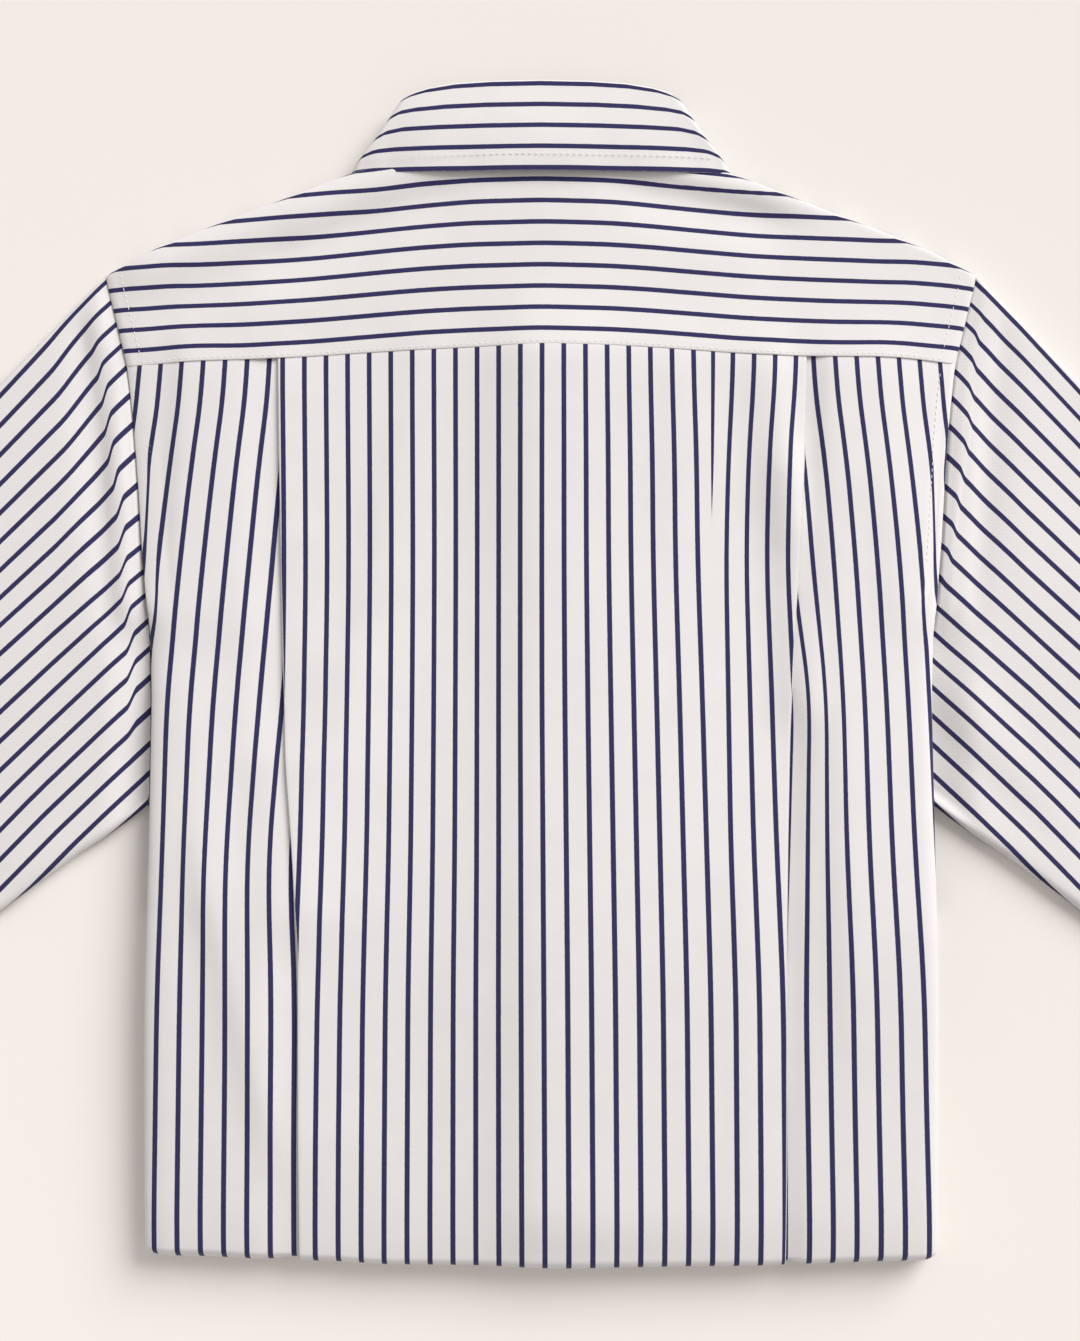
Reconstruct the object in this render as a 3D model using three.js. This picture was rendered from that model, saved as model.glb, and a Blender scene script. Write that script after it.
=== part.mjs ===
// A striped oxford shirt laid face down, with its tail turned under at the bottom and its sleeves spread.
// Units are millimetres, +Z up. "side" is the distance from the centre back line, "up" the distance above
// the bottom fold, towards the collar. The shirt lies on z = 0, and its origin is under its middle.
import * as THREE from "three";

// ---------------------------------------------------------------- driving sizes
const SHOULDER_SIDE = 231; // half of the yoke, armhole to armhole
const YOKE_CORNER_SIDE = 216; // half of the yoke along its lower seam
const YOKE_CORNER_UP = 478; // where the yoke seam meets the armholes
const YOKE_SEAM_RISE = 10; // the seam is higher at the centre back by this much
const NECKLINE_UP = 590; // where the collar stand is sewn to the yoke
const TAIL_TURNED_UNDER = 185; // length of tail under the body
const PACK_HALF = 4.4; // half the thickness of the flattened body
const FOLD_HALF = 10.5; // half the thickness at the bottom fold, two packs high
const SEAM_GAP = 0.3; // between pieces that are sewn together
const BACK_WALL = 1.2;
const YOKE_WALL = 1.4;
const COLLAR_WALL = 1.5;
const SLEEVE_WALL = 2.3;
const CUFF_WALL = 2.2;
const PLACKET_WALL = 1.2;
const PLY_PITCH = 1.5; // from one layer of a pleat to the next
const SLEEVE_ANGLE = THREE.MathUtils.degToRad(46); // upper edge of a sleeve, below the horizontal
const SLEEVE_LENGTH = 575; // along the upper edge, from shoulder to cuff
const SLEEVE_TAPER = 0.233; // width lost for each millimetre of length
const SLEEVE_WIDTH_AT_TIP = 261.2; // the straight edges' distance, run back to the shoulder tip
const CUFF_LENGTH = 65;
const CUFF_WIDTH = 118;
const BUTTON_RADIUS = 5.5;
const BUTTON_HEIGHT = 2.2;
const WHITE_COTTON = 0xe9e5e4;
const PEARL = 0xf2efe8;

// Half width of yoke and body, from the shoulder tip down the armhole and the folded side to the bottom.
const BODY_EDGE = [
  { up: 620, side: SHOULDER_SIDE },
  { up: 526, side: SHOULDER_SIDE },
  { up: YOKE_CORNER_UP, side: YOKE_CORNER_SIDE },
  { up: 440, side: 211.5 },
  { up: 407, side: 208.5 },
  { up: 374, side: 207 },
  { up: 342, side: 206.5 },
  { up: 239, side: 206.5 },
  { up: 140, side: 209 },
  { up: 0, side: 209.5 },
];

// The shoulder fold of the yoke, from the centre out to the tip.
const SHOULDER_LINE = [
  { side: 0, up: 617.3 },
  { side: 108, up: 576.5 },
  { side: 206, up: 539.5 },
  { side: SHOULDER_SIDE, up: 526 },
];

// The two back pleats: where each fold edge lies, and how much cloth it laps over.
const PLEATS = [
  { up: 490, left: -140, right: 140.5, lap: 16 },
  { up: 332, left: -136, right: 132, lap: 12 },
  { up: 220, left: -128, right: 129, lap: 7 },
  { up: 0, left: -127, right: 129, lap: 4 },
];

// Soft folds pressed into the back: a straight valley or ridge from one point to another.
const BACK_FOLDS = [
  { side: 90, up: 470, toSide: 90, toUp: 395, reach: 7, rise: -0.8 },
  { side: 146, up: 470, toSide: 133, toUp: 300, reach: 9, rise: -1.1 },
  { side: 122, up: 450, toSide: 116, toUp: 250, reach: 12, rise: 0.9 },
  { side: -154, up: 460, toSide: -148, toUp: 300, reach: 9, rise: -0.9 },
  { side: -146, up: 225, toSide: -138, toUp: 170, reach: 14, rise: 0.9 },
  { side: -195, up: 450, toSide: -197, toUp: 380, reach: 8, rise: -0.7 },
  { side: 195, up: 450, toSide: 197, toUp: 380, reach: 8, rise: -0.7 },
  { side: -92, up: 572, toSide: -140, toUp: 545, reach: 12, rise: -0.9 },
  { side: 92, up: 572, toSide: 150, toUp: 545, reach: 12, rise: -0.9 },
];

// Soft folds of a sleeve: from one point to another, along it from the shoulder and across from its upper edge.
const SLEEVE_FOLDS = [
  { along: 34, across: 30, toAlong: 92, toAcross: 92, reach: 9, rise: -0.9 },
  { along: 58, across: 60, toAlong: 120, toAcross: 128, reach: 9, rise: -0.9 },
  { along: 130, across: 160, toAlong: 330, toAcross: 120, reach: 16, rise: 0.7 },
  { along: 330, across: 60, toAlong: 420, toAcross: 130, reach: 14, rise: -0.8 },
];

// ---------------------------------------------------------------- small tools
const lerp = THREE.MathUtils.lerp;
const clamp = THREE.MathUtils.clamp;

function smooth(low, high, value) {
  const t = clamp((value - low) / (high - low), 0, 1);
  return t * t * (3 - 2 * t);
}

// Reads a column of a table whose rows are in order of another column, with straight lines between rows.
function lookUp(table, key, at, column) {
  const rising = table[table.length - 1][key] > table[0][key];
  const rows = rising ? table : [...table].reverse();
  const next = clamp(rows.findIndex((row) => row[key] >= at), 1, rows.length - 1);
  const after = at > rows[rows.length - 1][key] ? rows.length - 1 : next;
  const [low, high] = [rows[after - 1], rows[after]];
  const share = clamp((at - low[key]) / (high[key] - low[key]), 0, 1);
  return lerp(low[column], high[column], share);
}

// The height that soft folds add at a point: each is a rounded valley or ridge beside its own line.
function foldHeight(folds, keys, x, y) {
  const [fromX, fromY, toX, toY] = keys;
  let height = 0;
  for (const fold of folds) {
    const dx = fold[toX] - fold[fromX];
    const dy = fold[toY] - fold[fromY];
    const share = clamp(((x - fold[fromX]) * dx + (y - fold[fromY]) * dy) / (dx * dx + dy * dy), 0, 1);
    const away = Math.hypot(x - fold[fromX] - share * dx, y - fold[fromY] - share * dy);
    height += fold.rise * Math.exp(-((away / fold.reach) ** 2)) * (0.35 + 0.65 * Math.sin(Math.PI * share));
  }
  return height;
}

function addQuad(index, a, b, c, d) {
  index.push(a, b, c, a, c, d);
}

// Makes a mesh of vertices and triangles, turned so that its faces point out.
function namedMesh(name, vertices, index, colour) {
  let volume = 0;
  const cross = new THREE.Vector3();
  for (let i = 0; i < index.length; i += 3) {
    const [a, b, c] = [vertices[index[i]], vertices[index[i + 1]], vertices[index[i + 2]]];
    volume += a.dot(cross.crossVectors(b, c));
  }
  if (volume < 0) index.reverse();
  const geometry = new THREE.BufferGeometry().setFromPoints(vertices);
  geometry.setIndex(index);
  geometry.computeVertexNormals();
  const material = new THREE.MeshStandardMaterial({ color: colour, roughness: 0.85, metalness: 0 });
  const mesh = new THREE.Mesh(geometry, material);
  mesh.name = name;
  return mesh;
}

// A cloth wall. Each row holds points on the middle of the cloth with the way out from there; the two faces
// lie half the thickness to each side. A round wall closes on itself across the row, as a tube does.
function clothWall(name, rows, thickness, { round = false } = {}) {
  const across = rows[0].length;
  const vertices = [];
  for (const half of [thickness / 2, -thickness / 2]) {
    for (const row of rows) {
      for (const { point, out } of row) vertices.push(point.clone().addScaledVector(out, half));
    }
  }
  const inside = rows.length * across;
  const at = (row, column) => row * across + (column % across);
  const index = [];
  const columns = round ? across : across - 1;
  for (let row = 0; row < rows.length - 1; row++) {
    for (let column = 0; column < columns; column++) {
      const [a, b] = [at(row, column), at(row, column + 1)];
      const [c, d] = [at(row + 1, column + 1), at(row + 1, column)];
      addQuad(index, a, b, c, d);
      addQuad(index, inside + a, inside + d, inside + c, inside + b);
    }
  }
  for (let column = 0; column < columns; column++) {
    const last = rows.length - 1;
    addQuad(index, at(0, column + 1), at(0, column), inside + at(0, column), inside + at(0, column + 1));
    addQuad(index, at(last, column), at(last, column + 1), inside + at(last, column + 1), inside + at(last, column));
  }
  if (!round) {
    for (let row = 0; row < rows.length - 1; row++) {
      const end = across - 1;
      addQuad(index, at(row, 0), at(row + 1, 0), inside + at(row + 1, 0), inside + at(row, 0));
      addQuad(index, at(row + 1, end), at(row, end), inside + at(row, end), inside + at(row + 1, end));
    }
  }
  return namedMesh(name, vertices, index, WHITE_COTTON);
}

// A solid through sections that each hold a top and a bottom, left to right, and the points down both sides.
function layeredSolid(name, sections) {
  const outline = ({ top, right, bottom, left }) => [...top, ...right, ...[...bottom].reverse(), ...[...left].reverse()];
  const around = outline(sections[0]).length;
  const vertices = sections.flatMap((section) => outline(section).map(({ x, y, z }) => new THREE.Vector3(x, y, z)));
  const index = [];
  for (let row = 0; row < sections.length - 1; row++) {
    for (let i = 0; i < around; i++) {
      const next = (i + 1) % around;
      addQuad(index, row * around + i, (row + 1) * around + i, (row + 1) * around + next, row * around + next);
    }
  }
  const [wide, deep] = [sections[0].top.length, sections[0].right.length];
  const lowAt = (i) => 2 * wide + deep - 1 - i;
  for (const [start, flip] of [[0, false], [(sections.length - 1) * around, true]]) {
    const put = (a, b, c) => index.push(...(flip ? [a, c, b] : [a, b, c]).map((i) => start + i));
    for (let i = 0; i < wide - 1; i++) {
      put(i, i + 1, lowAt(i + 1));
      put(i, lowAt(i + 1), lowAt(i));
    }
    const right = [wide - 1, ...Array.from({ length: deep }, (_, i) => wide + i), lowAt(wide - 1)];
    const left = [lowAt(0), ...Array.from({ length: deep }, (_, i) => 2 * wide + deep + i), 0];
    for (const fan of [right, left]) {
      for (let i = 1; i < fan.length - 1; i++) put(fan[0], fan[i], fan[i + 1]);
    }
  }
  return namedMesh(name, vertices, index, WHITE_COTTON);
}

// ---------------------------------------------------------------- the body's form
const bodySide = (up) => lookUp(BODY_EDGE, "up", up, "side");
const shoulderUp = (side) => lookUp(SHOULDER_LINE, "side", Math.abs(side), "up");
const yokeSeamUp = (side) => YOKE_CORNER_UP + YOKE_SEAM_RISE * (1 - (side / YOKE_CORNER_SIDE) ** 2);
const yokeTopUp = (side) => Math.min(shoulderUp(side), NECKLINE_UP);

// Height of the middle of the flattened body: it lies on the floor, and on the turned-under tail lower down.
const PACK_RAISED = 2 * FOLD_HALF - PACK_HALF;
const packMiddle = (up) => lerp(PACK_RAISED, PACK_HALF, smooth(160, 300, up));

// Height of the outer face of back and yoke, before the pleats: a low crown with pressed folds.
function topFace(side, up) {
  const crown = lerp(0.5, 3, smooth(30, 260, up)) * smooth(-10, 62, shoulderUp(side) - up);
  const round = (1 - Math.min(1, (side / bodySide(up)) ** 2)) ** 1.5;
  const folds = foldHeight(BACK_FOLDS, ["side", "up", "toSide", "toUp"], side, up) * smooth(0, 14, bodySide(up) - Math.abs(side));
  return packMiddle(up) + PACK_HALF + crown * round + folds;
}

// ---------------------------------------------------------------- back panel, with its pleats and turned-under tail
const pleatDepth = 2 * PLY_PITCH;
const SIDE_ROLL_STEPS = 5;
const PLEAT_ROLL_STEPS = 3;
const DIP_REACH = 14; // the side panel dips under the pleat from this far away

// How far the folded side turns round, in degrees: hardly at the armhole, nearly a half turn below it.
const sideTurn = (up) => lerp(165, 15, smooth(322, 412, up));

// One section across the back, from the left side to the right, as distances across and out of the pack.
// face(side) is the outer face's distance from the middle of the pack.
function backSection(up, face) {
  const half = BACK_WALL / 2;
  const rollRadius = PACK_HALF - half;
  const turn = THREE.MathUtils.degToRad(sideTurn(up));
  const widest = bodySide(up) - half;
  const rollCentre = widest - rollRadius * Math.sin(Math.min(turn, Math.PI / 2));
  const lap = lookUp(PLEATS, "up", up, "lap");
  const bend = PLY_PITCH / 2;
  const halves = { left: [], right: [] };
  for (const hand of ["left", "right"]) {
    const sign = hand === "left" ? -1 : 1;
    const edge = Math.abs(lookUp(PLEATS, "up", up, hand));
    const points = halves[hand];
    const level = (x) => face(sign * x) - half;
    const put = (x, n, outX, outN) => points.push({ x: sign * x, n, outX: sign * outX, outN });
    for (let i = SIDE_ROLL_STEPS; i >= 0; i--) {
      const angle = (turn * i) / SIDE_ROLL_STEPS;
      const x = rollCentre + rollRadius * Math.sin(angle);
      const drop = level(rollCentre) - rollRadius;
      put(x, drop + rollRadius * Math.cos(angle), Math.sin(angle), Math.cos(angle));
    }
    const dipStart = edge + DIP_REACH;
    for (const share of [0.35, 0.7, 1]) {
      const x = lerp(rollCentre, dipStart, share);
      put(x, level(x), 0, 1);
    }
    for (const share of [0.3, 0.6, 1]) {
      const x = lerp(dipStart, edge + 1, share);
      const dip = pleatDepth * smooth(0, 1, share);
      const slope = pleatDepth / DIP_REACH;
      const tilt = Math.sin(Math.PI * share) * slope;
      put(x, level(x) - dip, -tilt, 1);
    }
    const inner = edge - lap;
    put(edge - lap * 0.5, level(edge - lap * 0.5) - pleatDepth, 0, 1);
    for (let i = 0; i <= PLEAT_ROLL_STEPS; i++) {
      const angle = (Math.PI * i) / PLEAT_ROLL_STEPS;
      const x = inner - bend * Math.sin(angle);
      put(x, level(inner) - pleatDepth + bend - bend * Math.cos(angle), Math.sin(angle), Math.cos(angle));
    }
    for (let i = 0; i <= PLEAT_ROLL_STEPS; i++) {
      const angle = (Math.PI * i) / PLEAT_ROLL_STEPS;
      const x = edge + bend * Math.sin(angle);
      put(x, level(edge) - bend - bend * Math.cos(angle), Math.sin(angle), -Math.cos(angle));
    }
    for (const share of [0.12, 0.4, 0.7]) {
      const x = edge * (1 - share);
      put(x, level(x), 0, 1);
    }
  }
  const centre = { x: 0, n: face(0) - half, outX: 0, outN: 1 };
  return [...halves.left, centre, ...halves.right.reverse()];
}

function backPanel() {
  const rows = [];
  const upperStations = [478, 459, 440, 407, 390, 374, 358, 342, 305, 272, 239, 210, 186, 160, 110, 60, FOLD_HALF];
  for (const up of upperStations) {
    const face = (side) => topFace(side, up) - packMiddle(up);
    const arc = smooth(407, YOKE_CORNER_UP, up);
    rows.push(
      backSection(up, face).map(({ x, n, outX, outN }) => ({
        point: new THREE.Vector3(x, up + arc * (yokeSeamUp(x) - YOKE_CORNER_UP), packMiddle(up) + n),
        out: new THREE.Vector3(outX, 0, outN).normalize(),
      })),
    );
  }
  const turnRadius = FOLD_HALF - PACK_HALF;
  const foldSteps = 8;
  const flatFace = (side) => lerp(PACK_HALF, topFace(side, FOLD_HALF) - packMiddle(FOLD_HALF), 0);
  for (let i = 1; i <= foldSteps; i++) {
    const angle = (Math.PI * i) / foldSteps;
    const out = [0, -Math.sin(angle), Math.cos(angle)];
    const crownLeft = 1 - smooth(0, 0.6, i / foldSteps);
    const face = (side) => lerp(flatFace(side), topFace(side, FOLD_HALF) - packMiddle(FOLD_HALF), crownLeft);
    rows.push(
      backSection(0, face).map(({ x, n, outX, outN }) => ({
        point: new THREE.Vector3(x, FOLD_HALF + out[1] * (turnRadius + n), FOLD_HALF + out[2] * (turnRadius + n)),
        out: new THREE.Vector3(outX, outN * out[1], outN * out[2]).normalize(),
      })),
    );
  }
  for (const up of [55, 120, TAIL_TURNED_UNDER]) {
    rows.push(
      backSection(0, () => PACK_HALF).map(({ x, n, outX, outN }) => ({
        point: new THREE.Vector3(x, up, PACK_HALF - n),
        out: new THREE.Vector3(outX, 0, -outN).normalize(),
      })),
    );
  }
  return clothWall("back", rows, BACK_WALL);
}

// ---------------------------------------------------------------- yoke, rolled over the shoulder line
const YOKE_HALF_COLUMNS = [0.12, 0.24, 0.31, 0.38, 0.45, 0.56, 0.7, 0.82, 0.92, 0.97, 1];
const YOKE_COLUMNS = [...YOKE_HALF_COLUMNS.map((share) => -share).reverse(), 0, ...YOKE_HALF_COLUMNS];

function yoke() {
  const flatSteps = 6;
  const rollSteps = 6;
  const half = YOKE_WALL / 2;
  const rows = Array.from({ length: flatSteps + rollSteps + 1 }, () => []);
  for (const share of YOKE_COLUMNS) {
    const side = share * SHOULDER_SIDE;
    const away = Math.abs(side);
    const turn = THREE.MathUtils.degToRad(lerp(10, lerp(100, 150, smooth(95, 130, away)), smooth(72, 92, away)));
    const radius = PACK_HALF;
    const centreUp = yokeTopUp(side) - radius * Math.sin(Math.min(turn, Math.PI / 2));
    const seam = yokeSeamUp(share * YOKE_CORNER_SIDE) + SEAM_GAP;
    const centreHeight = topFace(side, centreUp) - radius;
    for (let i = 0; i <= flatSteps; i++) {
      const up = lerp(seam, centreUp, i / flatSteps);
      const x = share * bodySide(up);
      rows[i].push({ point: new THREE.Vector3(x, up, topFace(x, up) - half), out: new THREE.Vector3(0, 0, 1) });
    }
    for (let i = 1; i <= rollSteps; i++) {
      const angle = (turn * i) / rollSteps;
      const up = centreUp + (radius - half) * Math.sin(angle);
      const height = centreHeight + (radius - half) * Math.cos(angle);
      const x = share * bodySide(up + half * Math.sin(angle));
      rows[flatSteps + i].push({
        point: new THREE.Vector3(x, up, height),
        out: new THREE.Vector3(0, Math.sin(angle), Math.cos(angle)),
      });
    }
  }
  return clothWall("yoke", rows, YOKE_WALL);
}

// ---------------------------------------------------------------- collar: fall and stand, a flattened loop
const COLLAR_LOW_UP = 581.8; // lower edge of the fall at the centre back
const COLLAR_TOP_UP = 629.5; // the collar's fold
const COLLAR_LOW_SIDE = 104; // half width at the lower edge
const COLLAR_TOP_SIDE = 68; // half width at the fold
const COLLAR_BEND = 1.5; // radius of the fold, to the middle of the cloth
const COLLAR_FRONT = 52; // length of each front leaf, under the shirt
const COLLAR_FRONT_FALL = 24; // the front leaves slope down by this much
const COLLAR_POINT = 14; // and their points reach this much further
const COLLAR_STAND_FRONT = 22; // height of the stand at the front

// Height of the outer face of the fall at the back: lifted off the yoke at the centre of its lower edge.
function collarFace(side, share) {
  const centre = 1 - Math.min(1, (side / 80) ** 2);
  const low = 13.6 + 2.8 * centre;
  const high = 13.4;
  return lerp(low, high, smooth(0, 1, share)) + 1.2 * Math.sin(Math.PI * share) * (0.4 + 0.6 * centre);
}

// Points round the collar's loop at one share of the way from lower edge to fold: back, sides and front leaves.
function collarLoop(share) {
  const half = COLLAR_WALL / 2;
  const widest = lerp(COLLAR_LOW_SIDE, COLLAR_TOP_SIDE, share) - half;
  const corner = 0.8 * (1 - share) + 9 * smooth(0.55, 1, share) ** 2;
  const right = [];
  const sideFace = collarFace(200, share);
  const radius = sideFace / 2 - half;
  const rollCentre = widest - radius;
  for (const part of [0, 0.22, 0.42, 0.62, 0.82]) {
    const x = rollCentre * part;
    right.push({ x, z: collarFace(x, share) - half, outX: 0, outZ: 1, fall: corner * part ** 4 });
  }
  for (let i = 0; i <= 6; i++) {
    const angle = (Math.PI * i) / 6;
    right.push({
      x: rollCentre + radius * Math.sin(angle),
      z: half + radius + radius * Math.cos(angle),
      outX: Math.sin(angle),
      outZ: Math.cos(angle),
      fall: corner * (1 + 0.5 * Math.sin(angle)),
    });
  }
  for (const part of [0.35, 0.7, 1]) {
    const point = COLLAR_POINT * part * (1 - share);
    const fall = corner + COLLAR_FRONT_FALL * part + point;
    right.push({ x: rollCentre - COLLAR_FRONT * part, z: half, outX: 0, outZ: -1, fall });
  }
  const left = right.slice(1).map((p) => ({ ...p, x: -p.x, outX: -p.outX }));
  return [...left.reverse(), ...right];
}

function collarFall() {
  const rows = [];
  const half = COLLAR_WALL / 2;
  const bendUp = COLLAR_TOP_UP - COLLAR_BEND - half;
  for (const share of [0, 0.2, 0.45, 0.7, 0.88, 1]) {
    const up = lerp(COLLAR_LOW_UP, bendUp, share);
    rows.push(
      collarLoop(share).map(({ x, z, outX, outZ, fall }) => ({
        point: new THREE.Vector3(x, up - fall, z),
        out: new THREE.Vector3(outX, 0, outZ),
      })),
    );
  }
  for (let i = 1; i <= 6; i++) {
    const angle = (Math.PI * i) / 6;
    const inward = COLLAR_BEND * (1 - Math.cos(angle));
    rows.push(
      collarLoop(1).map(({ x, z, outX, outZ, fall }) => ({
        point: new THREE.Vector3(
          x - outX * inward,
          bendUp - fall + COLLAR_BEND * Math.sin(angle),
          z - outZ * inward,
        ),
        out: new THREE.Vector3(outX * Math.cos(angle), Math.sin(angle), outZ * Math.cos(angle)).normalize(),
      })),
    );
  }
  return clothWall("collar_fall", rows, COLLAR_WALL);
}

function collarStand() {
  const half = COLLAR_WALL / 2;
  const topUp = COLLAR_TOP_UP - COLLAR_BEND - half - SEAM_GAP;
  const inward = 2 * COLLAR_BEND;
  const rows = [0, 0.5, 1].map((share) =>
    collarLoop(1).map(({ x, z, outX, outZ, fall }) => {
      const back = outZ > 0 ? smooth(0, 1, outZ) : 0;
      const seamUp = lerp(topUp - fall - COLLAR_STAND_FRONT, NECKLINE_UP + SEAM_GAP, back);
      return {
        point: new THREE.Vector3(x - outX * inward, lerp(topUp - fall, seamUp, share), z - outZ * inward),
        out: new THREE.Vector3(outX, 0, outZ),
      };
    }),
  );
  return clothWall("collar_stand", rows, COLLAR_WALL);
}

// ---------------------------------------------------------------- sleeves, cuffs, plackets and buttons
const sleeveWidth = (along) => SLEEVE_WIDTH_AT_TIP - SLEEVE_TAPER * along;
const sleeveThickness = (along) => lerp(8.4, 6.4, smooth(0, SLEEVE_LENGTH, along));

// A point of the left sleeve's plan, and of the right one's with hand = 1: along it from the shoulder tip,
// and across it from its upper edge.
function sleevePlan(hand, along, across) {
  const [cos, sin] = [Math.cos(SLEEVE_ANGLE), Math.sin(SLEEVE_ANGLE)];
  const x = -SHOULDER_SIDE - along * cos + across * sin;
  return { x: -hand * x, y: 526 - along * sin - across * cos };
}

// The armhole as the sleeve sees it: the body's edge from the shoulder tip down, as along and across.
const ARMHOLE = BODY_EDGE.filter(({ up }) => up <= 526 && up >= 239).map(({ up, side }) => {
  const [dx, dy] = [side - SHOULDER_SIDE, 526 - up];
  return {
    along: dx * Math.cos(SLEEVE_ANGLE) + dy * Math.sin(SLEEVE_ANGLE),
    across: -dx * Math.sin(SLEEVE_ANGLE) + dy * Math.cos(SLEEVE_ANGLE),
  };
});
const armholeAlong = (across) => lookUp(ARMHOLE, "across", across, "along") + SEAM_GAP * 1.6;

// Height of the upper face of a sleeve.
function sleeveFace(along, across) {
  const edge = Math.min(across, sleeveWidth(along) - across);
  const folds = foldHeight(SLEEVE_FOLDS, ["along", "across", "toAlong", "toAcross"], along, across);
  return sleeveThickness(along) + folds * smooth(4, 20, edge);
}

function sleeve(name, hand) {
  const half = SLEEVE_WALL / 2;
  const stations = [0, 0.06, 0.12, 0.2, 0.3, 0.42, 0.56, 0.7, 0.85, 1];
  const rollSteps = 5;
  const seamWidth = ARMHOLE[ARMHOLE.length - 1].across;
  const seamColumns = ARMHOLE.slice(1, -1).map((corner) => corner.across);
  const rows = stations.map((share) => {
    const row = [];
    const put = (across, z, outAcross, outZ) => {
      const inFrom = lerp(armholeAlong(across), SLEEVE_LENGTH, share);
      const { x, y } = sleevePlan(hand, inFrom, across);
      // the way out leans with the seam, so that both faces of the cloth end on it
      const lean = (armholeAlong(across + 1) - armholeAlong(across - 1)) * 0.5 * (1 - share);
      const tip = sleevePlan(hand, lean * outAcross, outAcross);
      const root = sleevePlan(hand, 0, 0);
      row.push({ point: new THREE.Vector3(x, y, z), out: new THREE.Vector3(tip.x - root.x, tip.y - root.y, outZ) });
    };
    const endAlong = lerp(ARMHOLE[ARMHOLE.length - 1].along, SLEEVE_LENGTH, share);
    const width = sleeveWidth(endAlong);
    const radiusTop = sleeveThickness(lerp(0, SLEEVE_LENGTH, share)) / 2 - half;
    const radiusLow = sleeveThickness(endAlong) / 2 - half;
    const topCentre = radiusTop + half;
    const lowCentre = width - radiusLow - half;
    const columns = seamColumns.map((across) => lerp(across, (across / seamWidth) * width, share));
    for (let i = 0; i <= rollSteps; i++) {
      const angle = Math.PI * (1 - i / rollSteps);
      const z = half + radiusTop + radiusTop * Math.cos(angle);
      put(topCentre - radiusTop * Math.sin(angle), z, -Math.sin(angle), Math.cos(angle));
    }
    for (const across of columns) {
      const inFrom = lerp(armholeAlong(across), SLEEVE_LENGTH, share);
      put(across, sleeveFace(inFrom, across) - half, 0, 1);
    }
    for (let i = 0; i <= rollSteps; i++) {
      const angle = (Math.PI * i) / rollSteps;
      const z = half + radiusLow + radiusLow * Math.cos(angle);
      put(lowCentre + radiusLow * Math.sin(angle), z, Math.sin(angle), Math.cos(angle));
    }
    for (const across of [...columns].reverse()) put(across, half, 0, -1);
    return row;
  });
  return clothWall(name, rows, SLEEVE_WALL, { round: true });
}

function cuff(name, hand) {
  const half = CUFF_WALL / 2;
  const thickness = sleeveThickness(SLEEVE_LENGTH);
  const radius = thickness / 2 - half;
  const inset = (sleeveWidth(SLEEVE_LENGTH) - CUFF_WIDTH) / 2;
  const rows = [0, 0.5, 1].map((share) => {
    const along = SLEEVE_LENGTH + SEAM_GAP + CUFF_LENGTH * share;
    const row = [];
    const put = (across, z, outAcross, outZ) => {
      const { x, y } = sleevePlan(hand, along, inset + across);
      const tip = sleevePlan(hand, 0, outAcross);
      const root = sleevePlan(hand, 0, 0);
      row.push({ point: new THREE.Vector3(x, y, z), out: new THREE.Vector3(tip.x - root.x, tip.y - root.y, outZ).normalize() });
    };
    for (const side of [-1, 1]) {
      const centre = side < 0 ? radius + half : CUFF_WIDTH - radius - half;
      for (let i = 0; i <= 6; i++) {
        const angle = (Math.PI * i) / 6;
        const [sin, cos] = [side * Math.sin(angle), side * Math.cos(angle)];
        put(centre + radius * sin, half + radius + radius * cos, sin, cos);
      }
      const face = side < 0 ? { z: thickness - half, outZ: 1 } : { z: half, outZ: -1 };
      for (const part of [0.33, 0.67]) {
        put(lerp(radius, CUFF_WIDTH - radius, side < 0 ? part : 1 - part), face.z, 0, face.outZ);
      }
    }
    return row;
  });
  return clothWall(name, rows, CUFF_WALL, { round: true });
}

// The strip that finishes the slit above the cuff, made from the sleeve's own face and moved out from it.
const PLACKET_LENGTH = 115;
const PLACKET_WIDTH = 22;
const PLACKET_ACROSS = 0.6; // where it lies, as a share of the sleeve's width

function placket(name, hand) {
  const rows = [];
  for (let i = 0; i <= 6; i++) {
    const along = SLEEVE_LENGTH - SEAM_GAP - (PLACKET_LENGTH * i) / 6;
    const middle = sleeveWidth(SLEEVE_LENGTH) * PLACKET_ACROSS;
    const row = [-0.5, 0, 0.5].map((part) => {
      const across = middle + part * PLACKET_WIDTH;
      const { x, y } = sleevePlan(hand, along, across);
      const z = sleeveFace(along, across) + SEAM_GAP + PLACKET_WALL / 2;
      return { point: new THREE.Vector3(x, y, z), out: new THREE.Vector3(0, 0, 1) };
    });
    rows.push(row);
  }
  return clothWall(name, rows, PLACKET_WALL);
}

function cuffButton(name, hand) {
  const profile = [
    [0, 0],
    [BUTTON_RADIUS - 0.8, 0],
    [BUTTON_RADIUS, 0.9],
    [BUTTON_RADIUS - 0.3, BUTTON_HEIGHT - 0.2],
    [BUTTON_RADIUS - 1.3, BUTTON_HEIGHT],
    [BUTTON_RADIUS - 1.9, BUTTON_HEIGHT - 0.6],
    [0, BUTTON_HEIGHT - 0.6],
  ].map(([radius, height]) => new THREE.Vector2(radius, height));
  const geometry = new THREE.LatheGeometry(profile, 24);
  geometry.rotateX(Math.PI / 2);
  const button = new THREE.Mesh(geometry, new THREE.MeshStandardMaterial({ color: PEARL, roughness: 0.35, metalness: 0 }));
  const middle = sleeveWidth(SLEEVE_LENGTH) * PLACKET_ACROSS;
  const { x, y } = sleevePlan(hand, SLEEVE_LENGTH + CUFF_LENGTH / 2, middle);
  button.position.set(x, y, sleeveThickness(SLEEVE_LENGTH) + SEAM_GAP);
  button.name = name;
  return button;
}

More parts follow.
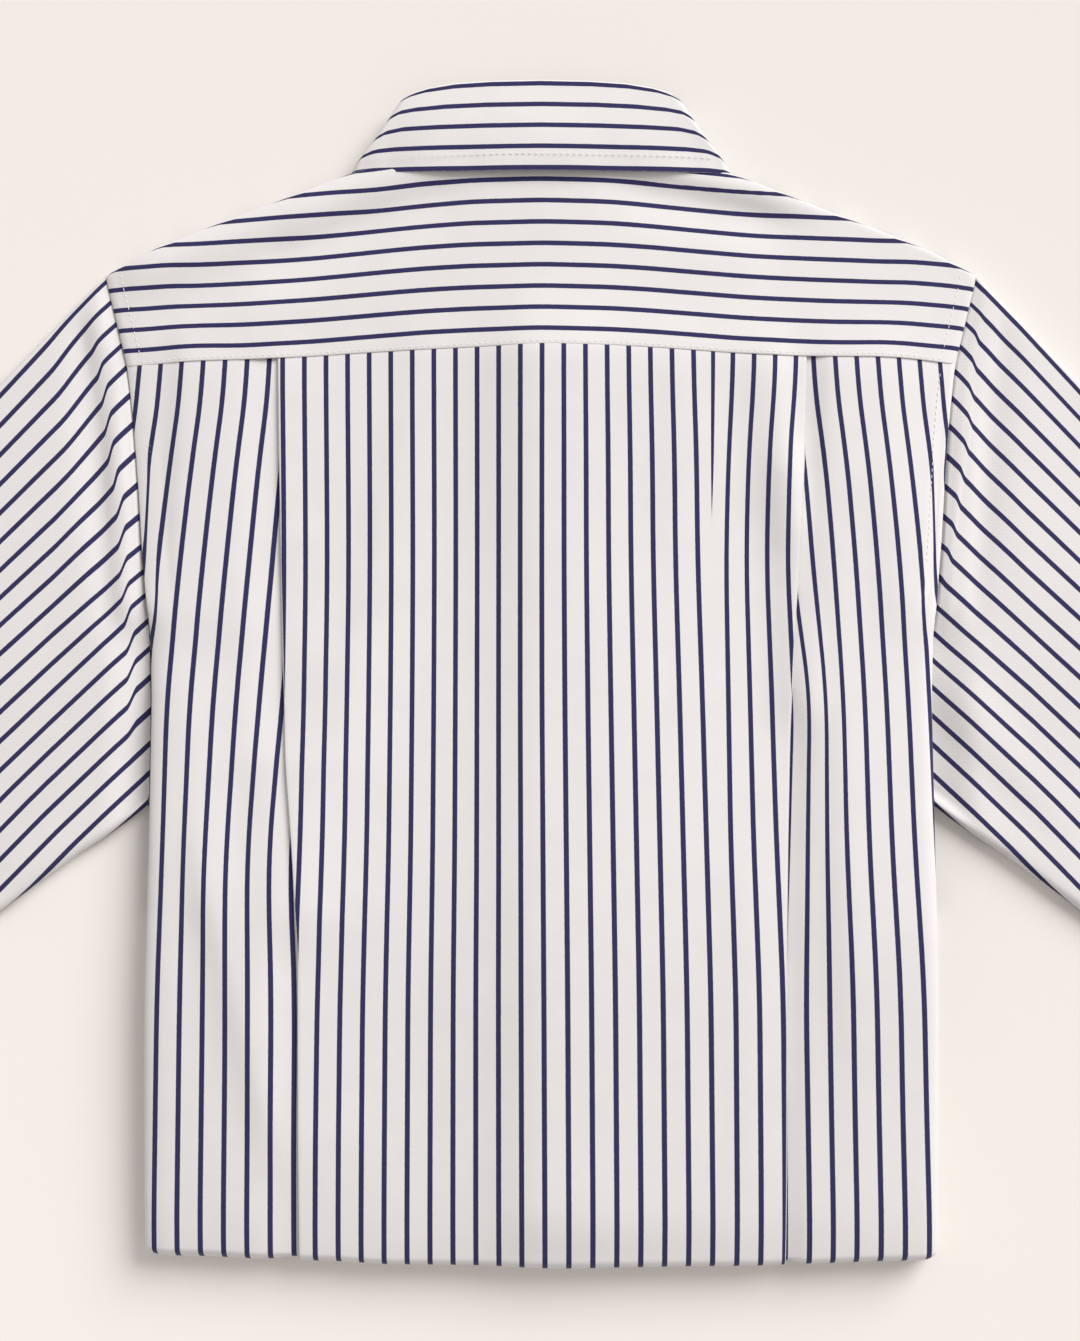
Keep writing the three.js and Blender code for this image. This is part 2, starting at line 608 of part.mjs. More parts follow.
// ---------------------------------------------------------------- the hidden fronts and tail, as one layered core
const CORE_GAP = 0.4; // between the core and the cloth round it
const COLLAR_ROOM = 4.9; // the core stays above the collar's front by this much

// Half the outline of the core at one height: columns over the top, points down the side, columns below.
function coreColumns(up) {
  const half = BACK_WALL / 2;
  const turn = THREE.MathUtils.degToRad(sideTurn(up));
  const rollRadius = PACK_HALF - half;
  const rollCentre = bodySide(up) - half - rollRadius * Math.sin(Math.min(turn, Math.PI / 2));
  return { rollCentre, inner: rollRadius - half - CORE_GAP };
}

function coreSection(up, wall = BACK_WALL, plyOut = 3) {
  const { rollCentre, inner } = coreColumns(up);
  const twoPacks = 1 - smooth(TAIL_TURNED_UNDER, 290, up);
  const rim = smooth(440, 407, up);
  const floor = up <= TAIL_TURNED_UNDER + CORE_GAP ? BACK_WALL + CORE_GAP : 0;
  const halves = {};
  for (const hand of ["left", "right"]) {
    const sign = hand === "left" ? -1 : 1;
    // columns that keep clear of a pleat: how far out, and the share of the pleat's depth to leave there
    const columnsFor = (pleatUp) => {
      const edge = Math.abs(lookUp(PLEATS, "up", pleatUp, hand));
      const start = edge - lookUp(PLEATS, "up", pleatUp, "lap");
      const out = edge + DIP_REACH;
      return [
        [start * 0.35, 0],
        [start * 0.7, 0],
        [start - 6, 0],
        [start - 2.2, 1],
        [edge + 1, 1],
        [lerp(out, edge + 1, 0.6), 0.68],
        [lerp(out, edge + 1, 0.3), 0.26],
        [out, 0],
        [lerp(out, rollCentre, 0.5), 0],
        [rollCentre, 0],
      ];
    };
    const drop = pleatDepth + 0.15;
    const columns = columnsFor(up).map(([x, dip]) => {
      return { x: sign * x, y: up, z: topFace(sign * x, up) - wall - CORE_GAP - dip * drop };
    });
    const inTail = floor > 0 ? 1 : 0;
    const lowColumns = columnsFor(floor > 0 ? 0 : up).map(([x, dip]) => ({ x: sign * x, y: up, z: floor + inTail * dip * drop }));
    const outer = bodySide(up) - CORE_GAP;
    const face = topFace(sign * rollCentre, up);
    const upper = face - PACK_HALF;
    const round = (angle) => {
      const a = THREE.MathUtils.degToRad(angle);
      return [Math.min(outer, rollCentre + inner * Math.sin(a)), upper + inner * Math.cos(a)];
    };
    const lower = PACK_HALF;
    const tongue = plyOut * (1 - smooth(125, 160, up)) - 0.2;
    const packs = [
      round(45),
      round(90),
      round(135),
      [rollCentre - 0.4, upper - inner + 0.2],
      [rollCentre - 0.4, FOLD_HALF + 1.1],
      [rollCentre + tongue, FOLD_HALF + 0.8],
      [rollCentre + tongue, FOLD_HALF - 0.8],
      [rollCentre - 0.4, FOLD_HALF - 1.1],
      [rollCentre - 0.4, lower + inner - 0.2],
      [rollCentre + 2, lower + 2],
      [rollCentre + inner, lower],
      [rollCentre + 2, lower - 2],
    ];
    const single = packs.map(([, ,], i) => {
      if (i < 3) return packs[i];
      const share = (i - 3) / 8;
      return [rollCentre - 0.4 - 1.2 * share, lerp(Math.min(upper - inner + 0.2, 6), 0.15, share)];
    });
    const cut = packs.map((_, i) => [outer, lerp(columns[9].z - 0.3, 0.3, i / 11)]);
    const side = packs.map((point, i) => {
      const [x, z] = [0, 1].map((k) => lerp(lerp(single[i][k], point[k], twoPacks), cut[i][k], 1 - rim));
      return { x: sign * x, y: up, z };
    });
    halves[hand] = { columns, lowColumns, side };
  }
  const centre = { x: 0, y: up, z: topFace(0, up) - wall - CORE_GAP };
  const top = [...[...halves.left.columns].reverse(), centre, ...halves.right.columns];
  const bottom = [...[...halves.left.lowColumns].reverse(), { ...centre, z: floor }, ...halves.right.lowColumns];
  return { top, bottom, left: halves.left.side, right: halves.right.side };
}

function foldedLayers() {
  const sections = [];
  const tailEnd = TAIL_TURNED_UNDER + CORE_GAP;
  for (const angle of [75, 50, 25]) {
    const a = THREE.MathUtils.degToRad(angle);
    const section = coreSection(FOLD_HALF, BACK_WALL, 0);
    const reach = FOLD_HALF - BACK_WALL - CORE_GAP - pleatDepth - 0.5;
    const shrink = ({ x, z }) => ({ x, y: FOLD_HALF - reach * Math.sin(a), z: FOLD_HALF + (z - FOLD_HALF) * Math.cos(a) });
    sections.push(Object.fromEntries(Object.entries(section).map(([key, points]) => [key, points.map(shrink)])));
  }
  for (const up of [FOLD_HALF, 60, 110, 160, tailEnd, 186, 210, 239, 272, 305, 342, 358, 374, 390, 407, 440, 459, YOKE_CORNER_UP]) {
    sections.push(coreSection(up));
  }
  const seamUp = YOKE_CORNER_UP + YOKE_SEAM_RISE - 1.5;
  sections.push(coreSection(seamUp, YOKE_WALL));
  // the rest follows the yoke to the shoulder line, is rounded inside its fold, and is thin over the collar's front
  const columns = YOKE_COLUMNS.slice(1, -1);
  const inner = PACK_HALF - YOKE_WALL - CORE_GAP;
  const rowEnds = [
    { share: 0.08, back: 0 },
    { share: 0.3, back: 0 },
    { share: 0.6, back: 0 },
    { share: 1, back: 8 },
    { share: 1, back: inner + 1.2 },
    { share: 1, back: inner },
    { share: 1, back: inner * 0.45 },
    { share: 1, back: 0.1 },
  ];
  for (const { share, back } of rowEnds) {
    const place = (column, level) => {
      const side = Math.abs(column) * SHOULDER_SIDE;
      const folded = smooth(68, 88, side);
      const end = yokeTopUp(side) - lerp(CORE_GAP, YOKE_WALL + CORE_GAP, folded) - back;
      const up = lerp(seamUp, end, share);
      const x = column * (bodySide(up) - CORE_GAP);
      const ceiling = topFace(x, up) - YOKE_WALL - CORE_GAP;
      const recess = COLLAR_ROOM * smooth(505, 525, up) * (1 - smooth(112, 124, Math.abs(x)));
      const beyond = share < 1 ? -1 : (inner - back) / inner;
      const round = beyond < 0 ? 1 : Math.sqrt(Math.max(0.02, 1 - beyond ** 2));
      const low = beyond < 0 && back !== inner ? recess : lerp(recess, Math.max(recess, ceiling - inner * (1 + round)), folded);
      const high = lerp(ceiling, ceiling - inner * (1 - round), folded);
      return { x, y: up, z: lerp(low, high, level) };
    };
    const sidePoints = Array.from({ length: 12 }, (_, i) => 1 - (i + 1) / 13);
    sections.push({
      top: columns.map((column) => place(column, 1)),
      bottom: columns.map((column) => place(column, 0)),
      left: sidePoints.map((level) => place(-1, level)),
      right: sidePoints.map((level) => place(1, level)),
    });
  }
  return layeredSolid("folded_layers", sections);
}

// ---------------------------------------------------------------- assembly
const shirt = new THREE.Group();
shirt.add(backPanel(), yoke(), collarFall(), collarStand());
shirt.add(foldedLayers());
for (const [hand, sign] of [["left", -1], ["right", 1]]) {
  shirt.add(sleeve(`sleeve_${hand}`, sign), cuff(`cuff_${hand}`, sign));
  shirt.add(placket(`placket_${hand}`, sign), cuffButton(`cuff_button_${hand}`, sign));
}

// the origin lies under the middle of the outline
const box = new THREE.Box3().setFromObject(shirt);
shirt.position.set(-(box.min.x + box.max.x) / 2, -(box.min.y + box.max.y) / 2, -box.min.z);

const group = new THREE.Group();
group.add(shirt);
export default group;
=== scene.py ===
"""A white oxford shirt with narrow navy stripes, laid face down: tail turned under, sleeves spread."""
import math

import bpy
import numpy as np
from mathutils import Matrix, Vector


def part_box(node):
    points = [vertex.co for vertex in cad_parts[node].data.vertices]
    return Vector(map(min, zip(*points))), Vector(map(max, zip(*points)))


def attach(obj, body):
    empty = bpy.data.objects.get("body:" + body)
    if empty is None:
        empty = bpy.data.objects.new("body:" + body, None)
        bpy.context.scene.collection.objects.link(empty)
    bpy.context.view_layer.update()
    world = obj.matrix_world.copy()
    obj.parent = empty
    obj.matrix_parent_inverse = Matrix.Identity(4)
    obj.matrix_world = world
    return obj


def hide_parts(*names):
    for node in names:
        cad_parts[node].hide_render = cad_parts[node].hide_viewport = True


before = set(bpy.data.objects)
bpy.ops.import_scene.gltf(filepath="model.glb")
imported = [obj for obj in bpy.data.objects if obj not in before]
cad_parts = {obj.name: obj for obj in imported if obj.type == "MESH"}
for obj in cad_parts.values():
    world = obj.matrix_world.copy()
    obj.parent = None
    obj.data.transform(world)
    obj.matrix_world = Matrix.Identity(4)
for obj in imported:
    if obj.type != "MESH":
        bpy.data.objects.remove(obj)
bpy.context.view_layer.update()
bpy.ops.object.select_all(action="DESELECT")

# ---- Table top, light and camera
# The shirt lies on a warm white table top, in the light of a large softbox above its right shoulder and of
# the white room round it. The camera hangs straight over the middle of the back.


def linear(hex_colour):
    """An sRGB hex colour as the linear values that a shader takes."""
    values = [int(hex_colour[i : i + 2], 16) / 255 for i in (1, 3, 5)]
    return [v / 12.92 if v <= 0.04045 else ((v + 0.055) / 1.055) ** 2.4 for v in values] + [1.0]


def add_node(tree, kind, settings=None, **links):
    """Adds a node, sets its properties and its sockets, and links the sockets that are given an output."""
    node = tree.nodes.new("ShaderNode" + kind)
    for key, value in (settings or {}).items():
        setattr(node, key, value)
    for key, value in links.items():
        socket = node.inputs[int(key[1:])] if key[1:].isdigit() else node.inputs[key.replace("_", " ")]
        if isinstance(value, bpy.types.NodeSocket):
            tree.links.new(value, socket)
        else:
            socket.default_value = value
    return node


def new_material(name, colour, roughness, **sockets):
    """A material with its Principled shader, named for the real finish."""
    material = bpy.data.materials.new(name)
    material.use_nodes = True
    shader = material.node_tree.nodes["Principled BSDF"]
    shader.inputs["Base Color"].default_value = linear(colour)
    shader.inputs["Roughness"].default_value = roughness
    for socket, value in sockets.items():
        shader.inputs[socket.replace("_", " ")].default_value = value
    return material, material.node_tree, shader


# painted board, sprayed matt: a warm white, faintly mottled, with painted shade that makes it a little deeper towards
# the light, where the softbox falls strongest, so that the board reads evenly bright
table_paint, tree, shader = new_material("matt_board_painted_shade", "#ece8e4", 0.9)
place = add_node(tree, "TexCoord").outputs["Object"]
# painted shade: the paint deepens towards the softbox to cancel its stronger light there
towards_light = add_node(tree, "VectorMath", {"operation": "DOT_PRODUCT"}, _0=place, _1=(0.5, 0.7, 0))
mottle = add_node(tree, "TexNoise", Vector=place, Scale=2.5, Detail=2.0)
# the faint mottle plus the painted shade towards the softbox, in one share
cloudy = add_node(
    tree, "Math", {"operation": "MULTIPLY_ADD"},
    _0=mottle.outputs["Fac"], _1=0.03, _2=towards_light.outputs["Value"],
)
mottle_and_shade_mix = add_node(tree, "MapRange", Value=cloudy.outputs[0], From_Min=-0.4, From_Max=0.43)
paint = add_node(
    tree, "Mix", {"data_type": "RGBA"},
    Factor=mottle_and_shade_mix.outputs[0], _6=linear("#f4f0ec"), _7=linear("#dfdbd7"),
)
tree.links.new(paint.outputs[2], shader.inputs["Base Color"])

bpy.ops.mesh.primitive_plane_add(size=9, location=(0, 0, 0))
table_top = bpy.context.object
table_top.name = "table_top"
bpy.ops.object.mode_set(mode="EDIT")
bpy.ops.mesh.subdivide(number_cuts=8)
bpy.ops.transform.translate(value=(0, 0, -0.0004))
bpy.ops.object.mode_set(mode="OBJECT")
table_top.data.materials.append(table_paint)

world = bpy.data.worlds.new("white_room")
bpy.context.scene.world = world
world.use_nodes = True
world.node_tree.nodes["Background"].inputs["Color"].default_value = linear("#fffaf6")
world.node_tree.nodes["Background"].inputs["Strength"].default_value = 0.55

bpy.ops.object.light_add(type="AREA", location=(3.98, 4.52, 3.91))
softbox = bpy.context.object
softbox.name = "softbox"
softbox.data.shape = "DISK"
softbox.data.size = 5.0
softbox.data.energy = 583
softbox.data.color = (1.0, 0.985, 0.97)
softbox.rotation_euler = (-softbox.location).to_track_quat("-Z", "Y").to_euler()

bpy.ops.object.camera_add(location=(-0.0005, 0.0107, 1.012))
camera = bpy.context.object
camera.data.sensor_width = 36
camera.data.lens = 50.6
bpy.context.scene.camera = camera
bpy.context.scene.view_settings.view_transform = "Standard"

# ---- Back panel
# One panel of oxford cotton, with a pleat laid under each side of its centre, its sides rolled under below
# the armholes, and the tail turned under along the bottom. All is in mm here: x across from the centre back,
# up from the bottom fold towards the collar, z from the table.
COLLAR_TOP_UP = 629.5
PACK_HALF = 4.4  # half the thickness of the flattened body
FOLD_HALF = 10.5  # half the thickness at the bottom fold, two packs high
TAIL_TURNED_UNDER = 185
CLOTH = 0.55  # thickness of the shirting
PLY = 1.12  # from one layer of a pleat to the next
STRIPE_PITCH = 11.9
ROLL_POINTS = 13  # of a section, round each rolled side

middle_up = COLLAR_TOP_UP - 1000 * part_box("collar_fall")[1].y

SHOULDER_TIP = (232.3, 526.4)  # from the centre back, and up
BODY_EDGE = dict(
    up=[0, 60, 140, 185, 215, 239, 300, 338, 360, 383, 416, 445, 478, 526, 640],
    side=[209.5, 209.6, 209.3, 208.4, 207.8, 207.5, 207, 208.2, 210.7, 212.9, 214.9, 217, 220.6, 232.3, 232.3],
)
# Fold edges of the two pleats. They close towards the bottom fold.
PLEAT_EDGES = dict(
    up=[8, 170, 220, 268, 300, 332, 374, 432, 490],
    left=[-127, -127.4, -130.5, -134.6, -135.7, -136.7, -137.8, -138.9, -139.8],
    right=[128.5, 128.7, 129.6, 130.9, 131.8, 133.4, 136.4, 139.4, 141],
)
# Where the stripes run: the place of one stripe of each panel, and the pitch to both sides of it.
STRIPE_LAYOUT = dict(
    up=[8, 141, 220, 300, 374, 432, 474],
    left_at=[-167.2, -165.8, -165.8, -161.6, -155.1, -149.5, -144.4],
    left_pitch=[12.3, 12.1, 11.3, 12.2, 12.2, 11.8, 11.7],
    centre_at=[2.1, 1.5, 1.0, 0.5, 0.4, 0.5, 0.6],
    centre_pitch_left=[12.1, 11.9, 11.6, 11.45, 11.4, 11.45, 11.5],
    centre_pitch_right=[12.6, 12.5, 12.3, 12.1, 11.8, 11.7, 11.45],
    tuck_at=[96.6, 95.6, 93, 91.4, 90.6, 90.4, 90.4],
    past_tuck_at=[103.1, 102.1, 99.8, 99, 98.1, 99.6, 101.9],
    past_tuck_pitch=[12.6, 12.5, 12.1, 11.5, 10.7, 10.6, 11.25],
    right_at=[166.4, 163.5, 160.3, 159.3, 154.8, 150, 144.6],
    right_pitch=[12.8, 12.5, 12, 11.5, 11.6, 11.3, 11.4],
    right_pitch_inner=[12.5, 12.2, 10, 8.7, 11.1, 10.8, 10.8],
)
# Soft ridges (rise > 0) and valleys pressed into back and yoke, each along its own line. lee widens the flank
# to the right of a line that runs down, and below one that runs to the left.
BODY_FOLDS = [
    dict(at=(1, 476), to=(3, 34), reach=31, lee=4.0, rise=5.8),
    dict(at=(-64, 478), to=(-106, 270), reach=11, lee=2.6, rise=1.2),
    dict(at=(122, 474), to=(132, 400), reach=15, lee=0.8, rise=2.4),
    dict(at=(132, 418), to=(137, 306), reach=14, lee=0.75, rise=3.6),
    dict(at=(159, 376), to=(166, 180), reach=19, lee=4.5, rise=5.0, fade=80),
    dict(at=(184, 470), to=(192, 356), reach=14, lee=2.2, rise=1.9),
    dict(at=(160, 474), to=(166, 420), reach=12, lee=1.6, rise=1.2),
    dict(at=(-141, 470), to=(-140, 392), reach=11, lee=2.0, rise=1.1),
    dict(at=(-141, 262), to=(-136, 190), reach=12, lee=2.4, rise=2.6),
    dict(at=(-118, 314), to=(-120, 190), reach=17, lee=2.0, rise=1.2),
    dict(at=(-170, 190), to=(-138, 74), reach=13, lee=3.4, rise=2.8, fade=40),
    dict(at=(-189, 474), to=(-192, 352), reach=8, lee=5.0, rise=2.0),
    dict(at=(-188, 300), to=(-176, 190), reach=9, lee=2.0, rise=0.8),
    dict(at=(108, 200), to=(112, 60), reach=13, lee=2.2, rise=0.8),
    dict(at=(-44, 150), to=(-50, 30), reach=10, lee=1.6, rise=0.5),
    dict(at=(72, 470), to=(76, 300), reach=9, lee=2.4, rise=0.5),
    dict(at=(-66, 583), to=(-204, 531), reach=10, lee=1.3, rise=2.8),
    dict(at=(-60, 568), to=(-134, 538), reach=9, lee=2.0, rise=-2.0),
    dict(at=(122, 567), to=(64, 581), reach=7, lee=1.2, rise=1.9),
    dict(at=(116, 557), to=(68, 570), reach=8, lee=2.2, rise=-2.7),
    dict(at=(-126, 512), to=(-206, 494), reach=9, lee=1.4, rise=0.6),
    dict(at=(0, 574), to=(0, 490), reach=40, lee=1.2, rise=1.0),
]


def smooth(low, high, value):
    """From 0 at low to 1 at high, with soft ends. It falls where low is the greater."""
    t = np.clip((value - low) / (high - low), 0, 1)
    return t * t * (3 - 2 * t)


def eased(table, column, up, reach=22):
    """A column of a table at one height, with its corners rounded off over reach."""
    ups = np.array(table["up"], float)
    values = np.array(table[column], float)
    around = np.linspace(-reach, reach, 9)
    return np.mean([np.interp(np.asarray(up, float) + d, ups, values) for d in around], axis=0)


def body_side(up):
    return eased(BODY_EDGE, "side", up, 7)


def shoulder_up(side):
    at = [0, 72, 108, 144, 177, 206, 232.3]
    return np.interp(np.abs(side), at, [606, 590.8, 577.8, 564, 551.6, 539.8, 526.4])


def yoke_seam_up(side):
    at = [-219, -200, -179, -156, -125, -102, -79, -56, 0, 36, 58, 80, 103, 125, 150, 177, 189, 199, 211, 219]
    fall = [12, 10.3, 8.8, 8.2, 6.6, 5, 3.5, 2.3, 0, 0.7, 1.9, 3.4, 5, 6.1, 6.6, 6.7, 7.2, 8.2, 9.8, 11]
    return 488.6 - 0.95 * np.mean([np.interp(side + d, at, fall) for d in (-9, -3, 3, 9)], axis=0)


def pack_middle(up):
    return PACK_HALF + (2 * FOLD_HALF - 2 * PACK_HALF) * (1 - smooth(135, 412, up))


def fold_height(folds, x, y):
    """The height that soft folds add at points: each is rounded across its line and fades at its ends."""
    height = np.zeros(np.broadcast(x, y).shape)
    for fold in folds:
        (x0, y0), (x1, y1) = fold["at"], fold["to"]
        share = ((x - x0) * (x1 - x0) + (y - y0) * (y1 - y0)) / ((x1 - x0) ** 2 + (y1 - y0) ** 2)
        past_end = (share - np.clip(share, 0, 1)) * math.hypot(x1 - x0, y1 - y0)
        fade = fold.get("fade", max(20, fold["reach"]))
        beside = ((x1 - x0) * (y - y0) - (y1 - y0) * (x - x0)) / math.hypot(x1 - x0, y1 - y0)
        wide = fold["reach"] * np.where(beside > 0, fold.get("lee", 1), 1)
        height += fold["rise"] * np.exp(-((beside / wide) ** 2) - (past_end / fade) ** 2)
    return height


def cloth_unevenness(x, y):
    """Gentle waves of cloth that has been laid by hand: none repeats over the shirt's size."""
    waves = 0.16 * np.sin(x / 13.3 + 1.7 * np.sin(y / 57)) + 0.12 * np.sin(x / 24.1 + y / 61 + 0.8)
    return waves + 0.12 * np.sin(y / 31 + 1.3 * np.sin(x / 43) + 2.1) + 0.06 * np.sin(x / 7.7 - y / 29)


def body_top(side, up):
    """Height of the outer face of back and yoke."""
    crown = 0.8 * smooth(-10, 62, shoulder_up(side) - up)
    inside = body_side(up) - np.abs(side)
    rounding = np.clip(1 - (side / body_side(up)) ** 2, 0, 1) ** 1.5
    soft = fold_height(BODY_FOLDS, side, up) + cloth_unevenness(side, up)
    towards_fold = 3.0 * np.exp(-np.maximum(up, 0) / 15)
    # beside the left armhole the back is pressed flat between the seam and its stitching
    pressed = 0.5 * (1 - smooth(6, 17, inside)) * smooth(335, 370, up) * (1 - smooth(465, 490, up)) * (side < 0)
    kept = np.where(side < 0, smooth(1, 14, inside), smooth(0, 8, inside))
    return pack_middle(up) + PACK_HALF + crown * rounding + soft * kept - towards_fold - pressed


def stripes_across_back(side, up, panel):
    """Which stripe lies at a point of the back, as a running number. Panels are counted apart."""
    at = {key: eased(STRIPE_LAYOUT, key, up) for key in STRIPE_LAYOUT if key != "up"}
    # below the armholes the outer stripes turn with the seam
    inside = body_side(up) - np.abs(side)
    drawn = 0.36 * smooth(9, 1, inside) * smooth(326, 360, up) * (1 - smooth(415, 445, up))
    if panel == "left":
        return (side - at["left_at"]) / at["left_pitch"] - drawn
    if panel == "right":
        pitch = np.where(side < at["right_at"], at["right_pitch_inner"], at["right_pitch"])
        return 40 + (side - at["right_at"]) / pitch + drawn
    pitch = np.where(side < at["centre_at"], at["centre_pitch_left"], at["centre_pitch_right"])
    if panel == "centre":
        return 12 + (side - at["centre_at"]) / pitch
    return 21 + (side - at["past_tuck_at"]) / at["past_tuck_pitch"]


def bottom_edge_up(side):
    """The bottom fold isn't quite straight: its corners lie a little higher."""
    at = [-210, -176, -144, -112, -80, 115, 143, 175, 210]
    return np.interp(side, at, [5, 4.8, 3.0, 2.1, 0, 0, 0.6, 2.0, 2.4])


def back_section(up, level):
    """One section across the back, from left to right: x, distance out of the pack, and stripe number.
    level(x) is the outer face's distance from the middle of the pack."""
    turn = math.radians(165 - 85 * smooth(330, 352, up))
    radius = PACK_HALF - (PACK_HALF - 2.1) * smooth(330, 352, up)
    parts = {}
    for hand, sign, slope_width in (("left", -1, 15), ("right", 1, 9)):
        slope_width = slope_width - (5 if sign > 0 else 1) * smooth(325, 375, up)
        centre = body_side(up) - slope_width * math.sin(min(turn, math.pi / 2))
        edge = abs(eased(PLEAT_EDGES, hand, up, 12))
        lap = np.interp(up, [0, 170, 260, 480], [3, 3.4, 6, 15])
        ply = PLY * (1 - 0.22 * smooth(450, 484, up))
        dip = 24 if sign < 0 else 14
        angles = np.linspace(turn, 0, ROLL_POINTS)
        turned = angles > math.pi / 2
        roll_x = body_side(up) - radius * (1 - np.sin(angles))
        roll_x = np.where(turned, roll_x, centre + slope_width * np.sin(angles))
        roll_n = level(sign * centre) - radius + radius * np.cos(angles)
        flat_x = np.linspace(centre, edge + dip, 18)[1:]
        flat_n = level(sign * flat_x)
        dip_x = np.linspace(edge + dip, edge + 0.6, 7)[1:]
        dip_x = np.append(dip_x, np.linspace(edge + 0.6, edge - lap, 9)[1:])
        dip_n = level(sign * dip_x) - 2 * ply * smooth(edge + dip, edge, dip_x)
        bend = np.linspace(0, math.pi, 5)[1:]
        under_x = edge - lap - ply / 2 * np.sin(bend)
        under_n = level(sign * (edge - lap)) - 2 * ply + ply / 2 * (1 - np.cos(bend))
        over_x = edge + ply / 2 * np.sin(bend[:-1])
        over_n = level(sign * edge) - ply / 2 - ply / 2 * np.cos(bend[:-1])
        between_x = np.linspace(edge - lap, edge - 0.5, 11)[1:]
        between_n = level(sign * between_x) - ply
        x = sign * np.concatenate([roll_x, flat_x, dip_x, under_x, between_x, over_x])
        n = np.concatenate([roll_n, flat_n, dip_n, under_n, between_n, over_n])
        stripe = stripes_across_back(x, up, hand)
        # on the roll the stripes keep their distance along the cloth
        past = np.maximum(angles - math.pi / 2, 0) * radius / STRIPE_PITCH * sign
        at_side = stripes_across_back(sign * body_side(up), up, hand)
        stripe[:ROLL_POINTS] = np.where(turned, at_side + past, stripe[:ROLL_POINTS])
        parts[hand] = [x, n, stripe]
    left_edge = eased(PLEAT_EDGES, "left", up, 12)
    right_edge = eased(PLEAT_EDGES, "right", up, 12)
    tuck = eased(STRIPE_LAYOUT, "tuck_at", up)
    gap = np.interp(up, [396, 404, 432, 474, 490], [0.02, 1.2, 8.4, 12, 13])
    tuck_left, tuck_right = tuck - gap / 2, tuck + gap / 2
    middle_x = np.linspace(left_edge, left_edge + 18, 12)[:-1]
    middle_x = np.append(middle_x, np.linspace(left_edge + 18, tuck_left, 54))
    tuck_x = np.linspace(tuck_left, tuck_right, 5)[1:-1]
    past_x = np.linspace(tuck_right, right_edge - 20, 7)[:-1]
    past_x = np.append(past_x, np.linspace(right_edge - 20, right_edge, 15))
    x = np.concatenate([middle_x, tuck_x, past_x])
    low = stripes_across_back(tuck_left, up, "centre")
    high = stripes_across_back(tuck_right, up, "past_tuck")
    stripe = np.concatenate(
        [
            stripes_across_back(middle_x, up, "centre"),
            low + (high - low) * np.array([0.25, 0.5, 0.75]),
            stripes_across_back(past_x, up, "past_tuck"),
        ]
    )
    columns = [x, level(x), stripe]
    return [np.concatenate([a, b, c[::-1]]) for a, b, c in zip(parts["left"], columns, parts["right"])]


def select_only(piece):
    bpy.ops.object.select_all(action="DESELECT")
    bpy.context.view_layer.objects.active = piece
    piece.select_set(True)


def new_piece(name, points, faces):
    """A piece with a smooth mesh of its own, from points in mm, selected."""
    mesh = bpy.data.meshes.new(name)
    mesh.from_pydata((points / 1000).tolist(), [], faces)
    mesh.polygons.foreach_set("use_smooth", [True] * len(faces))
    piece = bpy.data.objects.new(name, mesh)
    bpy.context.scene.collection.objects.link(piece)
    select_only(piece)
    return piece


def sew_sheet(name, rows, stripe, along, thickness, material, outward, closed=False):
    """A sheet of cloth through rows of points in mm, as a mesh with walls. Its UV map holds the stripe number
    and the distance along the stripes. outward is one face's number and the way that it should look."""
    rows = np.asarray(rows, float)
    count, across = rows.shape[:2]
    wide = across - 1 if closed else across  # a closed sheet repeats its first column as its last
    points = rows[:, :wide].reshape(-1, 3).copy()
    points[:, 1] -= middle_up
    points[:, 2] = np.maximum(points[:, 2], 0.1)
    faces, corners = [], []
    for i in range(count - 1):
        for j in range(across - 1):
            k = (j + 1) % wide
            faces.append((i * wide + j, i * wide + k, (i + 1) * wide + k, (i + 1) * wide + j))
            corners.append(((i, j), (i, j + 1), (i + 1, j + 1), (i + 1, j)))
    piece = new_piece(name, points, faces)
    stripe, along = np.broadcast_to(stripe, (count, across)), np.broadcast_to(along, (count, across))
    flat = [c for face in corners for c in face]
    values = np.array([(stripe[c], along[c] / 10) for c in flat], np.float32)
    piece.data.uv_layers.new(name="cloth").data.foreach_set("uv", values.ravel())
    a, b, c = [points[v] for v in faces[outward[0]][:3]]
    if np.dot(np.cross(b - a, c - a), outward[1]) < 0:
        piece.data.flip_normals()
    walls = piece.modifiers.new("cloth_thickness", "SOLIDIFY")
    walls.thickness = thickness / 1000
    walls.offset = -1
    bpy.ops.object.modifier_apply(modifier=walls.name)
    piece.data.materials.append(material)
    return piece


# oxford cotton, woven with white and navy warp threads: matt, with a faint pearly sheen at grazing angles,
# crisp stripe edges that wander by a thread, and a fine basket weave
HALF_STRIPE = 0.113  # half a stripe's width, in pitches
shirting, tree, shader = new_material(
    "striped_oxford_cotton", "#dddbdb", 0.82,
    IOR=1.45, Specular_IOR_Level=0.25, Sheen_Weight=0.12, Sheen_Roughness=0.5,
)
cloth = add_node(tree, "UVMap", {"uv_map": "cloth"})
place = add_node(tree, "TexCoord").outputs["Object"]
split = add_node(tree, "SeparateXYZ", Vector=cloth.outputs["UV"])
# a stripe's edge wanders a little, in steps of a thread or two
threads = add_node(tree, "TexNoise", Vector=place, Scale=420.0, Detail=2.0)
wander = add_node(tree, "Math", {"operation": "MULTIPLY_ADD"}, _0=threads.outputs["Fac"], _1=0.016, _2=-0.008)
shifted = add_node(tree, "Math", {"operation": "ADD"}, _0=split.outputs["X"], _1=wander.outputs[0])
away = add_node(tree, "Math", {"operation": "PINGPONG"}, _0=shifted.outputs[0], _1=0.5)
striping = add_node(
    tree, "MapRange", {"interpolation_type": "SMOOTHSTEP"}, Value=away.outputs[0],
    From_Min=HALF_STRIPE - 0.012, From_Max=HALF_STRIPE + 0.012, To_Min=1.0, To_Max=0.0,
)
